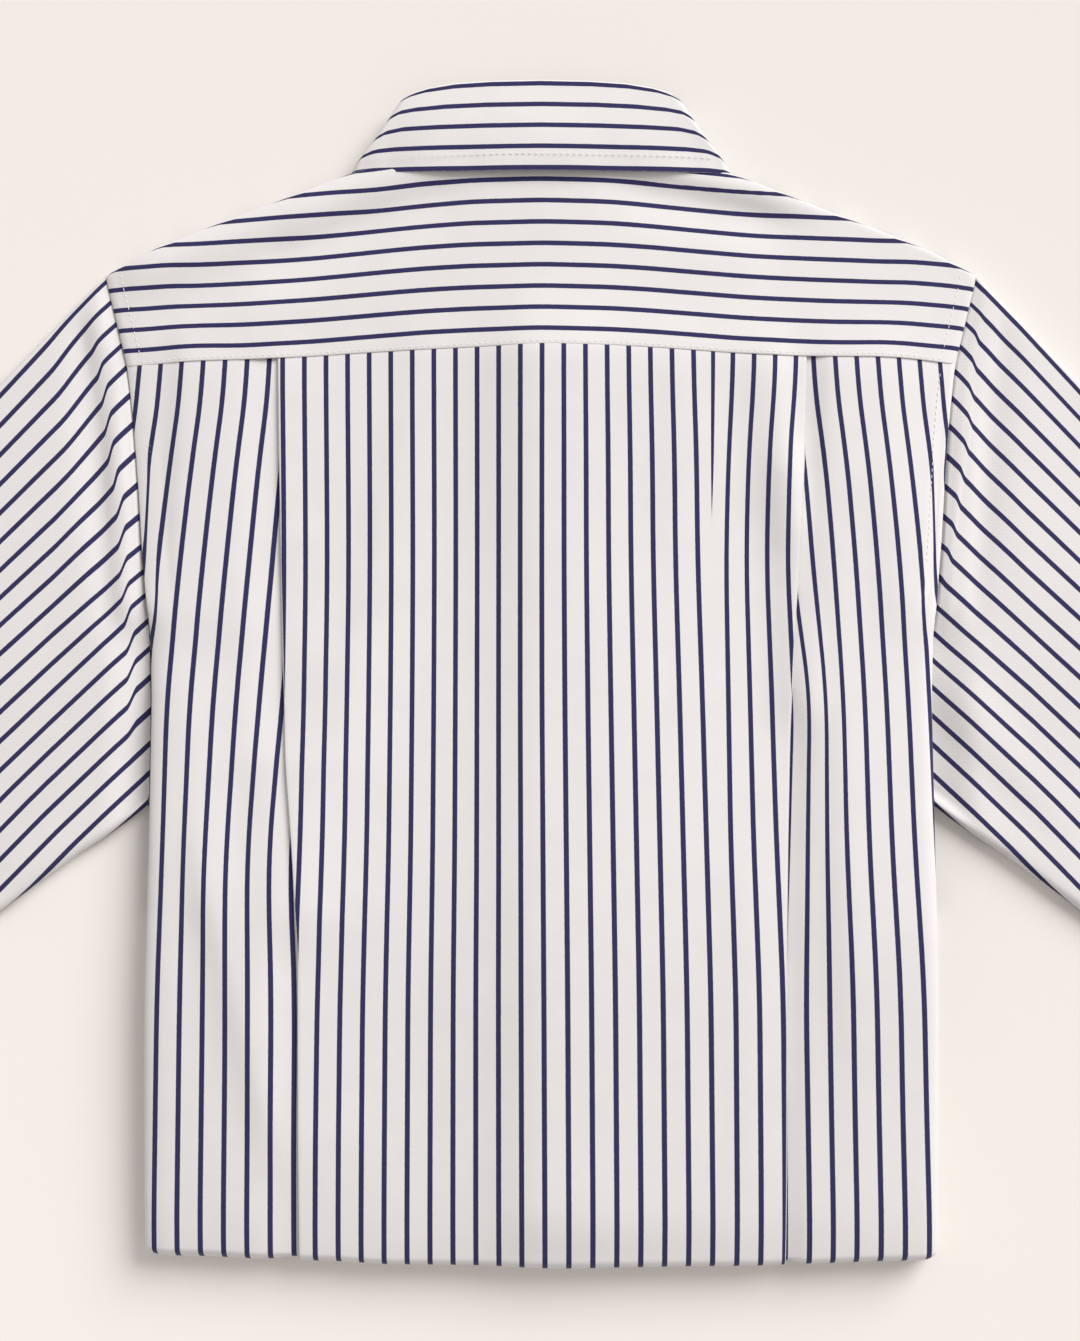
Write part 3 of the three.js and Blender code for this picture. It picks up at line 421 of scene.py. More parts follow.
# basket weave, drawn at 1.1 mm where the real one is about 0.6 mm, so that it shows
waves_per_mm = 2 * math.pi / 1.1
weft = add_node(tree, "Math", {"operation": "MULTIPLY"}, _0=split.outputs["Y"], _1=10 * waves_per_mm)
warp = add_node(tree, "Math", {"operation": "MULTIPLY"}, _0=split.outputs["X"], _1=STRIPE_PITCH * waves_per_mm)
weft_wave = add_node(tree, "Math", {"operation": "SINE"}, _0=weft.outputs[0])
warp_wave = add_node(tree, "Math", {"operation": "SINE"}, _0=warp.outputs[0])
weave = add_node(tree, "Math", {"operation": "MULTIPLY"}, _0=weft_wave.outputs[0], _1=warp_wave.outputs[0])
# the white yarn is a little uneven, and the navy yarn shows specks of the white weft
slub = add_node(tree, "TexNoise", Vector=place, Scale=55.0, Detail=3.0)
white = add_node(
    tree, "Mix", {"data_type": "RGBA"},
    Factor=slub.outputs["Fac"], _6=linear("#dad8d8"), _7=linear("#e1dfdf"),
)
speck = add_node(tree, "MapRange", Value=weave.outputs[0], From_Min=0.55, From_Max=1.0, To_Min=0.0, To_Max=0.2)
navy = add_node(
    tree, "Mix", {"data_type": "RGBA"},
    Factor=speck.outputs[0], _6=linear("#2b2854"), _7=linear("#6d6b92"),
)
colour = add_node(
    tree, "Mix", {"data_type": "RGBA"},
    Factor=striping.outputs[0], _6=white.outputs[2], _7=navy.outputs[2],
)
tree.links.new(colour.outputs[2], shader.inputs["Base Color"])
rough = add_node(tree, "MapRange", Value=threads.outputs["Fac"], To_Min=0.76, To_Max=0.9)
tree.links.new(rough.outputs[0], shader.inputs["Roughness"])
relief = add_node(tree, "Math", {"operation": "MULTIPLY_ADD"}, _0=slub.outputs["Fac"], _1=0.6, _2=weave.outputs[0])
bump = add_node(tree, "Bump", Strength=0.22, Distance=0.0001, Height=relief.outputs[0])
tree.links.new(bump.outputs["Normal"], shader.inputs["Normal"])

NOSE = 6.5  # how far the bottom fold's blunt nose reaches
SEAM_UP = 488.8  # where the yoke is sewn on, at the centre back
UNDER_YOKE = 4.0  # how far the panel's top edge lies under the yoke
TAIL_WIDER = 0.006  # the turned-under tail is a little wider
rows, stripes, run = [], [], []
for share in np.concatenate([[1.0, 0.993], np.linspace(0.985, 0, 96)]):
    up = NOSE + share * (SEAM_UP - NOSE)
    x, n, number = back_section(up, lambda side: body_top(side, up) - pack_middle(up))
    lift = (yoke_seam_up(x) + UNDER_YOKE - SEAM_UP) * smooth(400, 488, up)
    lift = lift + bottom_edge_up(x) * (1 - smooth(10, 90, up))
    sunk = 0.7 * smooth(485, 487, up)  # under the yoke's edge
    narrower = body_side(up + lift) / body_side(up) - 1
    narrower = narrower * smooth(400, 480, up) * (np.abs(x) / body_side(up)) ** 4
    rows.append(np.stack([x * (1 + narrower), up + lift, pack_middle(up) + n - sunk], 1))
    stripes.append(number)
    run.append(up + 0 * x)
turn_radius = FOLD_HALF - PACK_HALF
for angle in np.linspace(0, math.pi, 17)[1:]:
    crown = (1 + math.cos(angle)) / 2
    plain_top = pack_middle(NOSE) + PACK_HALF
    x, n, number = back_section(8, lambda side: PACK_HALF + crown * (body_top(side, NOSE) - plain_top))
    x = x * (1 + TAIL_WIDER * smooth(1.5, 2.2, angle))
    up = NOSE + (PACK_HALF - n - NOSE) * math.sin(angle) + bottom_edge_up(x) * (0.5 + 0.5 * crown)
    rows.append(np.stack([x, up, FOLD_HALF + math.cos(angle) * (turn_radius + n)], 1))
    stripes.append(number)
    run.append(NOSE - angle * FOLD_HALF + 0 * x)
for up in np.linspace(FOLD_HALF + 14, TAIL_TURNED_UNDER, 12):
    x, n, number = back_section(8, lambda side: PACK_HALF + 0 * side)
    x = x * (1 + TAIL_WIDER)
    rows.append(np.stack([x, up + 0 * x, PACK_HALF - n], 1))
    stripes.append(number)
    run.append(-22 - up + 0 * x)
back = sew_sheet("back_panel", rows, stripes, run, CLOTH, shirting, (3000, (0, 0, 1)))
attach(back, "root")
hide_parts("back")

# ---- Yoke
# The yoke is cut across the cloth, so its stripes run from shoulder to shoulder. It is sewn over the back,
# folds over the shoulders, and is stitched down beside the armholes.
YOKE_STRIPE_PITCH = 11.42
YOKE_FIRST_STRIPE_UP = 577.0
YOKE_RISE = 0.5  # of the yoke over the back
NECK_UP = 591.5  # the yoke ends here, under the collar


def stripes_across_yoke(side, up):
    at = [-232, -224, -215, -207, -199, -191, -181, -167, -154, -138, -122, -106, -90, -75, -59, -38, 0,
          37, 58, 74, 90, 106, 121, 137, 153, 169, 180, 190, 198, 206, 214, 220, 232]
    fall = [12.4, 11.6, 11.2, 10.9, 10, 9.8, 9.4, 9.1, 8.6, 7.6, 6.6, 5.3, 4.0, 2.8, 1.7, 0.7, 0,
            0.7, 1.8, 3.0, 4.2, 5.4, 6.1, 6.7, 7.3, 7.5, 7.6, 7.8, 8.2, 8.9, 9.5, 9.9, 11.8]
    bend = np.mean([np.interp(side + d, at, fall) for d in (-6, -2, 2, 6)], axis=0)
    bend = bend + 0.5 * np.exp(-(((np.abs(side) - 182) / 16) ** 2)) * np.clip((up - 505) / 20, -1, 1)
    bend = bend + 1.1 * np.exp(-(((side + 88) / 22) ** 2)) * smooth(545, 578, up)
    number = (YOKE_FIRST_STRIPE_UP - up - 1.315 * bend) / (YOKE_STRIPE_PITCH - 0.045 * bend)
    # beyond the first stripe the right shoulder rises steeply to the collar
    return np.where(number < 0, number * (1 + 0.42 * smooth(52, 76, side)), number)


side_shares = np.concatenate([[-1.0, -0.996, -0.99], np.linspace(-0.98, 0.98, 99), [0.99, 0.996, 1.0]])
lengths, angles = 30, np.linspace(0, 1, 11)[1:]
rows, stripes, run = [], [], []
grid = [[] for _ in range(lengths + len(angles) + 2)]
for share in side_shares:
    tip = share * SHOULDER_TIP[0]
    turn = math.radians(np.interp(abs(tip), [66, 86, 100], [6, 100, 160]))
    radius, fold_wide = PACK_HALF, 1.7  # the shoulder is pressed to a narrow fold
    top = min(shoulder_up(tip), NECK_UP)
    start = top - fold_wide * math.sin(min(turn, math.pi / 2))
    seam = yoke_seam_up(share * 219)
    ups = seam + (start - seam) * np.concatenate([[0, 0.004], np.linspace(0.012, 1, lengths)])
    x = share * body_side(ups)
    side_seam = 1.2 * smooth(0.99, 1.0, abs(share)) + 0.3 * smooth(0.955, 0.99, abs(share))
    z = body_top(x, ups) + YOKE_RISE * np.concatenate([[0.4, 0.9], np.ones(lengths)]) - side_seam
    number = stripes_across_yoke(x, ups)
    for i in range(lengths + 2):
        grid[i].append((x[i], ups[i], z[i], number[i], ups[i]))
    for i, part in enumerate(angles):
        angle = turn * part
        up = start + fold_wide * math.sin(angle)
        height = z[-1] - radius + radius * math.cos(angle)
        past = number[-1] - radius * angle / YOKE_STRIPE_PITCH
        grid[lengths + 2 + i].append((share * body_side(up), up, height, past, start + radius * angle))
grid = np.array(grid)
yoke = sew_sheet("yoke_cloth", grid[:, :, :3], grid[:, :, 3], grid[:, :, 0], 0.8, shirting, (1500, (0, 0, 1)))
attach(yoke, "root")
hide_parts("yoke")

# ---- Fronts, under the shirt
# The two buttoned fronts lie underneath. They follow the back down to the tail, pass between body and tail,
# and end in the bottom fold. Where the collar's leaves lie under them they are lifted by their thickness.
rows, run = [], []
shares = np.linspace(-1, 1, 61)
for up_share in np.linspace(0, 1, 70):
    row = []
    for share in shares:
        tip = abs(share) * SHOULDER_TIP[0]
        neckline = 590 - 42 * (1 - (tip / 80) ** 2) if tip < 80 else 1000
        end = min(shoulder_up(tip), neckline) - 3
        up = 14 + up_share * (end - 14)
        inset = 3.4 if up < 340 else 1.2
        x = share * (body_side(up) - inset)
        between = 1 - smooth(188, 240, up)
        placket = 0.5 * (1 - smooth(14, 16.5, abs(x)))
        over_leaf = 2.2 * smooth(505, 525, up) * (1 - smooth(108, 118, abs(x)))
        floor = 1.1 - placket + over_leaf
        row.append((x, up, floor + between * (FOLD_HALF - floor)))
    rows.append(row)
rows = np.array(rows)
fronts = sew_sheet("fronts", rows, rows[:, :, 0] / STRIPE_PITCH, rows[:, :, 1], CLOTH, shirting, (1800, (0, 0, -1)))
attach(fronts, "root")
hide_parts("folded_layers")

# ---- Sleeves
# Each sleeve is a tube sewn into the armhole and pressed flat, with a fold above and its seam below. The
# stripes run down the arm. Beside the armhole the cloth is eased in and puckers.
SLEEVE_ANGLE = math.radians(45.6)
SLEEVE_LENGTH = 575
# points across a sleeve's upper face, its lower face and the fold between them
SLEEVE_TOP, SLEEVE_LOW, SLEEVE_ROLL = 64, 24, 7
SLEEVE_FOLDS = [
    dict(at=(38, 18), to=(96, 88), reach=8, rise=-1.0),
    dict(at=(60, 48), to=(124, 122), reach=9, rise=-0.8),
    dict(at=(120, 160), to=(250, 176), reach=12, rise=0.9),
    dict(at=(150, 190), to=(330, 165), reach=14, rise=-0.8),
    dict(at=(200, 60), to=(420, 80), reach=22, rise=0.7),
    dict(at=(300, 30), to=(520, 90), reach=18, rise=-0.8),
    dict(at=(420, 120), to=(570, 60), reach=15, rise=0.8),
    dict(at=(470, 40), to=(575, 30), reach=12, rise=-0.8),
]


def sleeve_plan(hand, along, across):
    """Plan of a sleeve: along it from the shoulder tip, across it from its upper edge."""
    x = -SHOULDER_TIP[0] - along * math.cos(SLEEVE_ANGLE) + across * math.sin(SLEEVE_ANGLE)
    return -hand * x, SHOULDER_TIP[1] - along * math.sin(SLEEVE_ANGLE) - across * math.cos(SLEEVE_ANGLE)


def sleeve_width(along):
    at = [0, 187, 213, 232, 245, 281, 340, 400, 460, 575]
    return np.interp(along, at, [258.3, 214.5, 210, 205.6, 203.3, 197.2, 185.7, 172, 157.5, 128.2])


def sleeve_thickness(share):
    """The pressed tube thins from the armhole to the cuff."""
    return 8.2 - 1.9 * share


armhole_ups = [530, 526, 500, 478, 462, 445, 430, 416, 400, 383, 370, 360, 350, 338, 320, 300, 270, 239, 225]
armhole_ups = np.array(armhole_ups)
armhole_dx = body_side(armhole_ups) - SHOULDER_TIP[0]
armhole_dy = SHOULDER_TIP[1] - armhole_ups
armhole_along = armhole_dx * math.cos(SLEEVE_ANGLE) + armhole_dy * math.sin(SLEEVE_ANGLE)
armhole_across = -armhole_dx * math.sin(SLEEVE_ANGLE) + armhole_dy * math.cos(SLEEVE_ANGLE)

# Where the stripes cross a line beside the armhole, in mm across the sleeve, and how much each leans on from
# there: mm across per mm along.
SLEEVE_STRIPES = dict(
    number=[-3, 0, 1, 2, 3, 6, 9, 12, 15, 18, 24],
    left=[-31, 2.4, 14, 25.5, 37, 70.4, 102.1, 133.8, 165.9, 198.2, 263],
    right=[-31, 1.9, 12.1, 22.9, 34.1, 67.6, 100.7, 132.6, 165.1, 198.6, 265],
)
SLEEVE_LEAN = dict(
    across=[3, 37, 50, 70, 81, 91, 102, 112, 123, 134, 155, 188],
    outwards=[0.029, -0.008, -0.02, -0.04, -0.05, -0.058, -0.055, -0.05, -0.043, -0.036, -0.026, -0.008],
    left=[0, 0, 0, 0.01, -0.003, -0.027, -0.05, -0.071, -0.061, -0.043, -0.04, -0.03],
    right=[0, 0, 0, -0.006, -0.02, -0.03, -0.04, -0.05, -0.06, -0.07, -0.056, -0.03],
)


def crease_at(across):
    """The sharp crease beside the right armhole: its distance from the seam."""
    at = [24, 33, 44, 58, 75, 89, 106, 117, 127, 135]
    return np.interp(across, at, [9.8, 12, 12.8, 14.2, 11.7, 9.7, 7.3, 5.3, 2.8, 0])


def stripes_down_sleeve(hand, along, across, from_seam):
    side = "left" if hand < 0 else "right"
    across = across - 1.55  # the lines are measured from the stripe side of the upper fold
    lean_out = np.interp(across, SLEEVE_LEAN["across"], SLEEVE_LEAN["outwards"])
    lean_in = np.interp(across, SLEEVE_LEAN["across"], SLEEVE_LEAN[side])
    from_line = np.minimum(along, 230) - (34.7 + 1.085 * across)
    lean = np.where(from_line < 0, lean_in, lean_out)
    at = SLEEVE_STRIPES[side]
    number = np.interp(across - lean * from_line, at, SLEEVE_STRIPES["number"])
    # where the cloth is eased into the armhole the stripes step aside
    if hand < 0:
        step_at = 16 - 5 * smooth(62, 92, across)
        stepping = smooth(8, 45, across) * (1 - smooth(158, 192, across))
        number = number + 0.38 * stepping * (1 - smooth(-3.5, 3.5, from_seam - step_at))
        high_up = smooth(-6, 14, across) * (1 - smooth(38, 85, across))
        return number + 0.28 * high_up * (1 - smooth(22, 48, from_seam))
    high_up = smooth(4, 25, across) * (1 - smooth(62, 85, across))
    number = number + 0.05 * high_up * (1 - smooth(2, 12, from_seam))
    creased = smooth(6, 24, across) * (1 - smooth(112, 136, across))
    return number + 0.19 * creased * (1 - smooth(-3.4, 1.6, from_seam - crease_at(across)))


def make_sleeve(name, hand):
    close_to_seam = np.append([0, 0.001], np.linspace(0.003, 0.045, 22))
    further_down = np.append(np.linspace(0.052, 0.3, 34), np.linspace(0.31, 1, 60))
    seam_width, seam_end = armhole_across[-2], armhole_along[-2]
    rows, stripes, run = [], [], []
    for share in np.append(close_to_seam, further_down):
        width = sleeve_width(seam_end + share * (SLEEVE_LENGTH - seam_end))
        thick = sleeve_thickness(share)
        radius = thick / 2
        fold_wide = 2.2
        top = np.linspace(fold_wide, width - radius, SLEEVE_TOP)
        low = np.linspace(width - radius, fold_wide, SLEEVE_LOW)
        roll = np.linspace(0, math.pi, SLEEVE_ROLL + 2)[1:-1]
        # the seam under the arm runs along the lower fold, where the stripes don't meet
        seam_roll = np.append(roll, 3.13)
        lower_fold = width - radius + radius * np.sin(seam_roll)
        upper_fold = fold_wide - fold_wide * np.sin(roll)
        across = np.concatenate([top, lower_fold, low, upper_fold, top[:1]])
        cos = [np.ones(SLEEVE_TOP), np.cos(seam_roll), -np.ones(SLEEVE_LOW), -np.cos(roll), [1]]
        cos = np.concatenate(cos)
        seam_at = np.interp(across / width * seam_width, armhole_across, armhole_along)
        along = seam_at - 1.3 + share * (SLEEVE_LENGTH + 1.3 - seam_at)
        from_seam = along - seam_at
        x, y = sleeve_plan(hand, along, across)
        under_body = smooth(352, 325, y)
        lower = 1.1 * (1 - smooth(0, 9, from_seam)) + 1.3 * (1 - smooth(-1.2, 1.0, from_seam))
        lower = lower * (1 - under_body) + under_body * (1 - smooth(-2, 30, from_seam)) * (thick - 3.0)
        soft = fold_height(SLEEVE_FOLDS, along, across) + cloth_unevenness(x, y) * 1.2
        pucker = np.exp(-(((from_seam - 15 - hand * 3) / 6.5) ** 2)) * (0.8 + 0.4 * np.sin(across / 9.0))
        puckered = (0.9 * pucker - 0.7 * np.exp(-(((from_seam - 25) / 6) ** 2))) * (1 - under_body)
        soft = soft + puckered * (1 if hand < 0 else 0.45)
        if hand > 0:
            creased = smooth(30, 60, across) * (1 - smooth(100, 134, across))
            soft = soft + 0.35 * creased * (1 - smooth(-1, 1, from_seam - crease_at(across)))
        edge = smooth(0, 16, np.minimum(across, width - across))
        z = radius + radius * cos + (cos > 0.99) * (soft * edge - lower)
        # round the two folds the stripes keep their distance along the cloth
        number = stripes_down_sleeve(hand, along, across, from_seam)
        round_fold = math.pi * math.sqrt((fold_wide**2 + radius**2) / 2)
        number[SLEEVE_TOP:] = np.concatenate(
            [
                number[SLEEVE_TOP - 1] + radius * seam_roll / STRIPE_PITCH,
                number[0] - (round_fold + low - fold_wide) / STRIPE_PITCH,
                number[0] - round_fold * (1 - roll / math.pi) / STRIPE_PITCH,
                number[:1],
            ]
        )
        rows.append(np.stack([x, y, z], 1))
        stripes.append(number)
        run.append(along)
    return sew_sheet(name, rows, stripes, run, CLOTH, shirting, (3000, (0, 0, 1)), closed=True)


for hand, side_name in ((-1, "left"), (1, "right")):
    sleeve = make_sleeve(f"sleeve_cloth_{side_name}", hand)
    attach(sleeve, "root")
    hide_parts(f"sleeve_{side_name}")

# ---- Cuffs
# Each cuff is a doubled, lined band, sewn round the pleated end of the sleeve. Its two ends overlap on the
# outer side of the arm, where it is buttoned, and it is stitched round near its edges.
CUFF_LENGTH = 65
CUFF_WIDTH = 118
SLEEVE_END = 126.4  # the sleeve's width where the cuff is sewn on
OPENING_ACROSS = 0.6 * SLEEVE_END  # where the cuff's ends overlap, from the sleeve's upper edge


def make_cuff(name, hand):
    inset = (SLEEVE_END - CUFF_WIDTH) / 2
    radius = 2.4
    opening = OPENING_ACROSS - inset
    # from the lower end, under the overlap, round both folds to the upper end on top of it
    under = np.linspace(opening - 18, opening - 0.5, 5)
    first = np.linspace(opening + 1.5, CUFF_WIDTH - radius, 10)
    roll = np.linspace(0, math.pi, 9)[1:-1]
    below = np.linspace(CUFF_WIDTH - radius, radius, 16)
    last = np.linspace(radius, opening - 20, 10)
    over = np.linspace(opening - 17, opening + 1.5, 6)
    lower_fold, upper_fold = CUFF_WIDTH - radius + radius * np.sin(roll), radius - radius * np.sin(roll)
    across = np.concatenate([under, first, lower_fold, below, upper_fold, last, over])
    high = np.concatenate([np.ones(15), np.cos(roll), -np.ones(16), -np.cos(roll), np.ones(16)])
    z = radius + 0.1 + radius * high
    z[:5] -= 0.1
    z[-6:] += 1.75
    around = np.concatenate([[0], np.cumsum(np.hypot(np.diff(across), np.diff(z)))])
    rows, run = [], []
    for share in np.concatenate([[0, 0.015], np.linspace(0.05, 0.95, 16), [0.985, 1]]):
        along = SLEEVE_LENGTH + 0.3 + CUFF_LENGTH * share
        x, y = sleeve_plan(hand, along + 0 * across, across + inset)
        # two plies with lining between: the band is fuller between its stitched edges
        full = 0.5 * math.sin(math.pi * share) ** 0.5
        soft = 0.25 * np.sin(across / 9.1 + 3 * share)
        rows.append(np.stack([x, y, z + (high > 0.9) * (full + soft * math.sin(math.pi * share))], 1))
        run.append(around)
    # a cuff is cut along the cloth, so its stripes run round the wrist
    numbers = np.linspace(-0.2, CUFF_LENGTH / STRIPE_PITCH - 0.2, len(rows))[:, None]
    return sew_sheet(name, rows, numbers, run, 1.5, shirting, (8, (0, 0, 1)))


for hand, side_name in ((-1, "left"), (1, "right")):
    cuff = make_cuff(f"cuff_band_{side_name}", hand)
    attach(cuff, "root")
    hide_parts(f"cuff_{side_name}")

# ---- Sleeve plackets
# A strip with a pointed end finishes the slit above each cuff. It is folded double and stitched down
# along both edges and across its point.
PLACKET_LENGTH = 115
PLACKET_WIDTH = 22


def sleeve_face(hand, along, across):
    """Height of a sleeve's upper face, away from its seam."""
    share = (along - 180) / (SLEEVE_LENGTH - 180)
    x, y = sleeve_plan(hand, along, across)
    soft = fold_height(SLEEVE_FOLDS, along, across) + 1.2 * cloth_unevenness(x, y)
    return sleeve_thickness(share) + soft * smooth(0, 16, np.minimum(across, sleeve_width(along) - across))


for hand, side_name in ((-1, "left"), (1, "right")):
    rows, numbers, run = [], [], []
    for part in np.concatenate([[0, 0.01], np.linspace(0.04, 0.88, 22), [0.9, 0.93, 0.96, 0.99]]):
        half_width = PLACKET_WIDTH / 2 * min(1, (1 - part) / 0.1 + 0.02)
        across = OPENING_ACROSS + half_width * np.linspace(-1, 1, 11)
        along = SLEEVE_LENGTH - 0.5 - PLACKET_LENGTH * part + 0 * across
        x, y = sleeve_plan(hand, along, across)
        step = 1.15 - 0.35 * (np.abs(np.linspace(-1, 1, 11)) > 0.95)
        rows.append(np.stack([x, y, sleeve_face(hand, along, across) + step], 1))
        numbers.append((across - OPENING_ACROSS + 3) / STRIPE_PITCH)
        run.append(along)
    placket = sew_sheet(f"sleeve_placket_{side_name}", rows, numbers, run, 0.9, shirting, (100, (0, 0, 1)))
    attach(placket, "root")
    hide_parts(f"placket_{side_name}")

# ---- Collar fall
# The fall is two plies with interlining, stitched 6 mm from its edge. It is cut like the yoke, folds over the
# stand at the top, rolls round at the sides, and its two leaves lie under the shirt.
COLLAR_LOW_UP = 581.8
COLLAR_FULL = 45.1  # from the lower edge to the last stripe, which is almost on the fold
COLLAR_CLOTH = 1.4
COLLAR_FOLD = 1.03  # where the fall folds over the stand, counted like the shares below
COLLAR_OUTLINE = dict(
    share=[-0.05, 0, 0.25, 0.5, 0.75, 1, 1.03],
    half_width=[102.6, 102, 99.8, 91.9, 84.2, 77.4, 75.6],
)
# How far each line of the collar drops from its middle to its side, at shares of its half width.
COLLAR_DROP_AT = [0, 0.35, 0.6, 0.8, 0.9, 0.96, 1]
COLLAR_DROP = dict(
    share=[0, 0.25, 0.5, 0.75, 1, 1.03],
    drop=[
        [0, 0.2, 0.5, 0.5, 0.6, 0.9, 1.5],
        [0, 0.3, 0.8, 1.2, 2.2, 4.8, 8.6],
        [0, 0.4, 1.1, 1.9, 3.7, 6.7, 10.0],
        [0, 0.45, 1.35, 2.9, 4.4, 7.2, 10.3],
        [0, 0.5, 1.7, 4.0, 6.3, 8.6, 11.2],
        [0, 0.55, 1.8, 4.3, 6.7, 9.0, 11.8],
    ],
)


def collar_half_width(share):
    return np.interp(share, COLLAR_OUTLINE["share"], COLLAR_OUTLINE["half_width"])


def collar_drop(part, share):
    """part is the place across, as a share of the half width."""
    lines = [np.interp(np.abs(part), COLLAR_DROP_AT, line) for line in COLLAR_DROP["drop"]]
    return np.array([np.interp(share, COLLAR_DROP["share"], column) for column in np.array(lines).T])


def collar_top(x, share):
    """Height of the collar's upper face. Its lower edge lies on the yoke, and stands off it at the middle."""
    middle = np.clip(1 - (x / 80) ** 2, 0, 1)
    on_yoke = np.max([body_top(x, np.minimum(up, shoulder_up(x) - 2)) for up in (579, 582, 585, 588)], axis=0)
    on_yoke = on_yoke + YOKE_RISE + 0.5 + 1.2 * (1 - smooth(84, 99, np.abs(x)))
    low = on_yoke + 3.2 * middle**0.7
    t = smooth(0, 1, share)
    waves = 0.2 * np.sin(x / 19 + 1) + 0.12 * np.sin(x / 8.3 + 5 * share)
    full = 0.9 * math.sin(math.pi * min(max(share, 0), 1)) * (0.4 + 0.6 * middle)
    return (low + waves) * (1 - t) + 13.6 * t + full


def collar_loop(share):
    """Right half of one line round the collar: back, side roll, leaf in front. x, drop, z, outward x and z."""
    half = COLLAR_CLOTH / 2
    side_z = collar_top(collar_half_width(share) - 6.2, share) - half
    radius = (side_z - half) / 2
    rest = collar_half_width(share) - half - radius
    flat = np.linspace(0, 1, 30) * rest
    roll = np.linspace(0, math.pi, 13)[1:]
    leaf = np.linspace(0, 1, 11)[1:]
    x = np.concatenate([flat, rest + radius * np.sin(roll), rest - 52 * leaf])
    z = np.concatenate([collar_top(flat, share) - half, half + radius + radius * np.cos(roll), half + 0 * leaf])
    full = rest + radius
    edge = collar_drop(np.array([1.0]), share)[0]
    drop = np.concatenate(
        [
            collar_drop(flat / full, share),
            collar_drop(np.clip((rest + radius * np.sin(roll[:6])) / full, 0, 1), share),
            edge + 0.2 * edge * np.sin(roll[:6]),
            edge + 24 * leaf + 14 * leaf * max(0, 1 - share),
        ]
    )
    out_x = np.concatenate([0 * flat, np.sin(roll), 0 * leaf])
    out_z = np.concatenate([1 + 0 * flat, np.cos(roll), -1 + 0 * leaf])
    right = np.stack([x, drop, z, out_x, out_z])
    left = right[:, :0:-1] * np.array([-1, 1, 1, -1, 1])[:, None]
    return np.concatenate([left, right], 1)


rows, numbers, run = [], [], []
for share in np.concatenate([[-0.028, -0.022], np.linspace(0, 1.0, 22), [1.015]]):
    x, drop, z, out_x, out_z = collar_loop(share)
    rows.append(np.stack([x, COLLAR_LOW_UP + COLLAR_FULL * share - drop, z], 1))
    numbers.append(4 * share + 0 * x)
    run.append(x)
bend_up = COLLAR_LOW_UP + COLLAR_FULL * 1.015
for angle in np.linspace(0, math.pi, 9)[1:]:
    x, drop, z, out_x, out_z = collar_loop(COLLAR_FOLD)
    inward = 1.5 * (1 - math.cos(angle))
    rows.append(np.stack([x - out_x * inward, bend_up - drop + 1.5 * math.sin(angle), z - out_z * inward], 1))
    numbers.append(4.06 + 1.5 * angle / 11.15 + 0 * x)
    run.append(x)
collar_cloth = sew_sheet("collar_fall_cloth", rows, numbers, run, COLLAR_CLOTH, shirting, (1071, (0, 0, 1)))
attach(collar_cloth, "root")
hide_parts("collar_fall")

# ---- Collar stand
# A band with interlining, between the neckline and the fall. Only the fall's fold shows it from the ends.
rows, numbers, run = [], [], []
for part in np.linspace(0, 1, 7):
    x, drop, z, out_x, out_z = collar_loop(COLLAR_FOLD)
    top = bend_up - 0.3 - drop
    at_back = smooth(0, 1, out_z)
    seam = (top - 22) * (1 - at_back) + 590 * at_back
    rows.append(np.stack([x - 3.0 * out_x, top + part * (seam - top), z - 3.0 * out_z], 1))
    numbers.append(5 + part * 3 + 0 * x)
    run.append(x)
stand = sew_sheet("collar_stand_band", rows, numbers, run, 1.3, shirting, (50, (0, 0, 1)))
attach(stand, "root")
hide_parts("collar_stand")

# ---- Cuff buttons
# Pressed four-hole buttons of polyester with a pearl finish, 11 mm across, one where each cuff's ends overlap.
# The material is smooth and glossy, with soft cloudy bands of grey and cream.
pearl, tree, shader = new_material("pearl_polyester", "#e9e6e1", 0.22, IOR=1.54, Coat_Weight=0.4, Coat_Roughness=0.12)
place = add_node(tree, "TexCoord").outputs["Object"]
cloud = add_node(tree, "TexNoise", Vector=place, Scale=260.0, Detail=3.0, Distortion=1.2)
bands = add_node(
    tree, "Mix", {"data_type": "RGBA"},
    Factor=cloud.outputs["Fac"], _6=linear("#d9d8d8"), _7=linear("#f3efe8"),
)
tree.links.new(bands.outputs[2], shader.inputs["Base Color"])

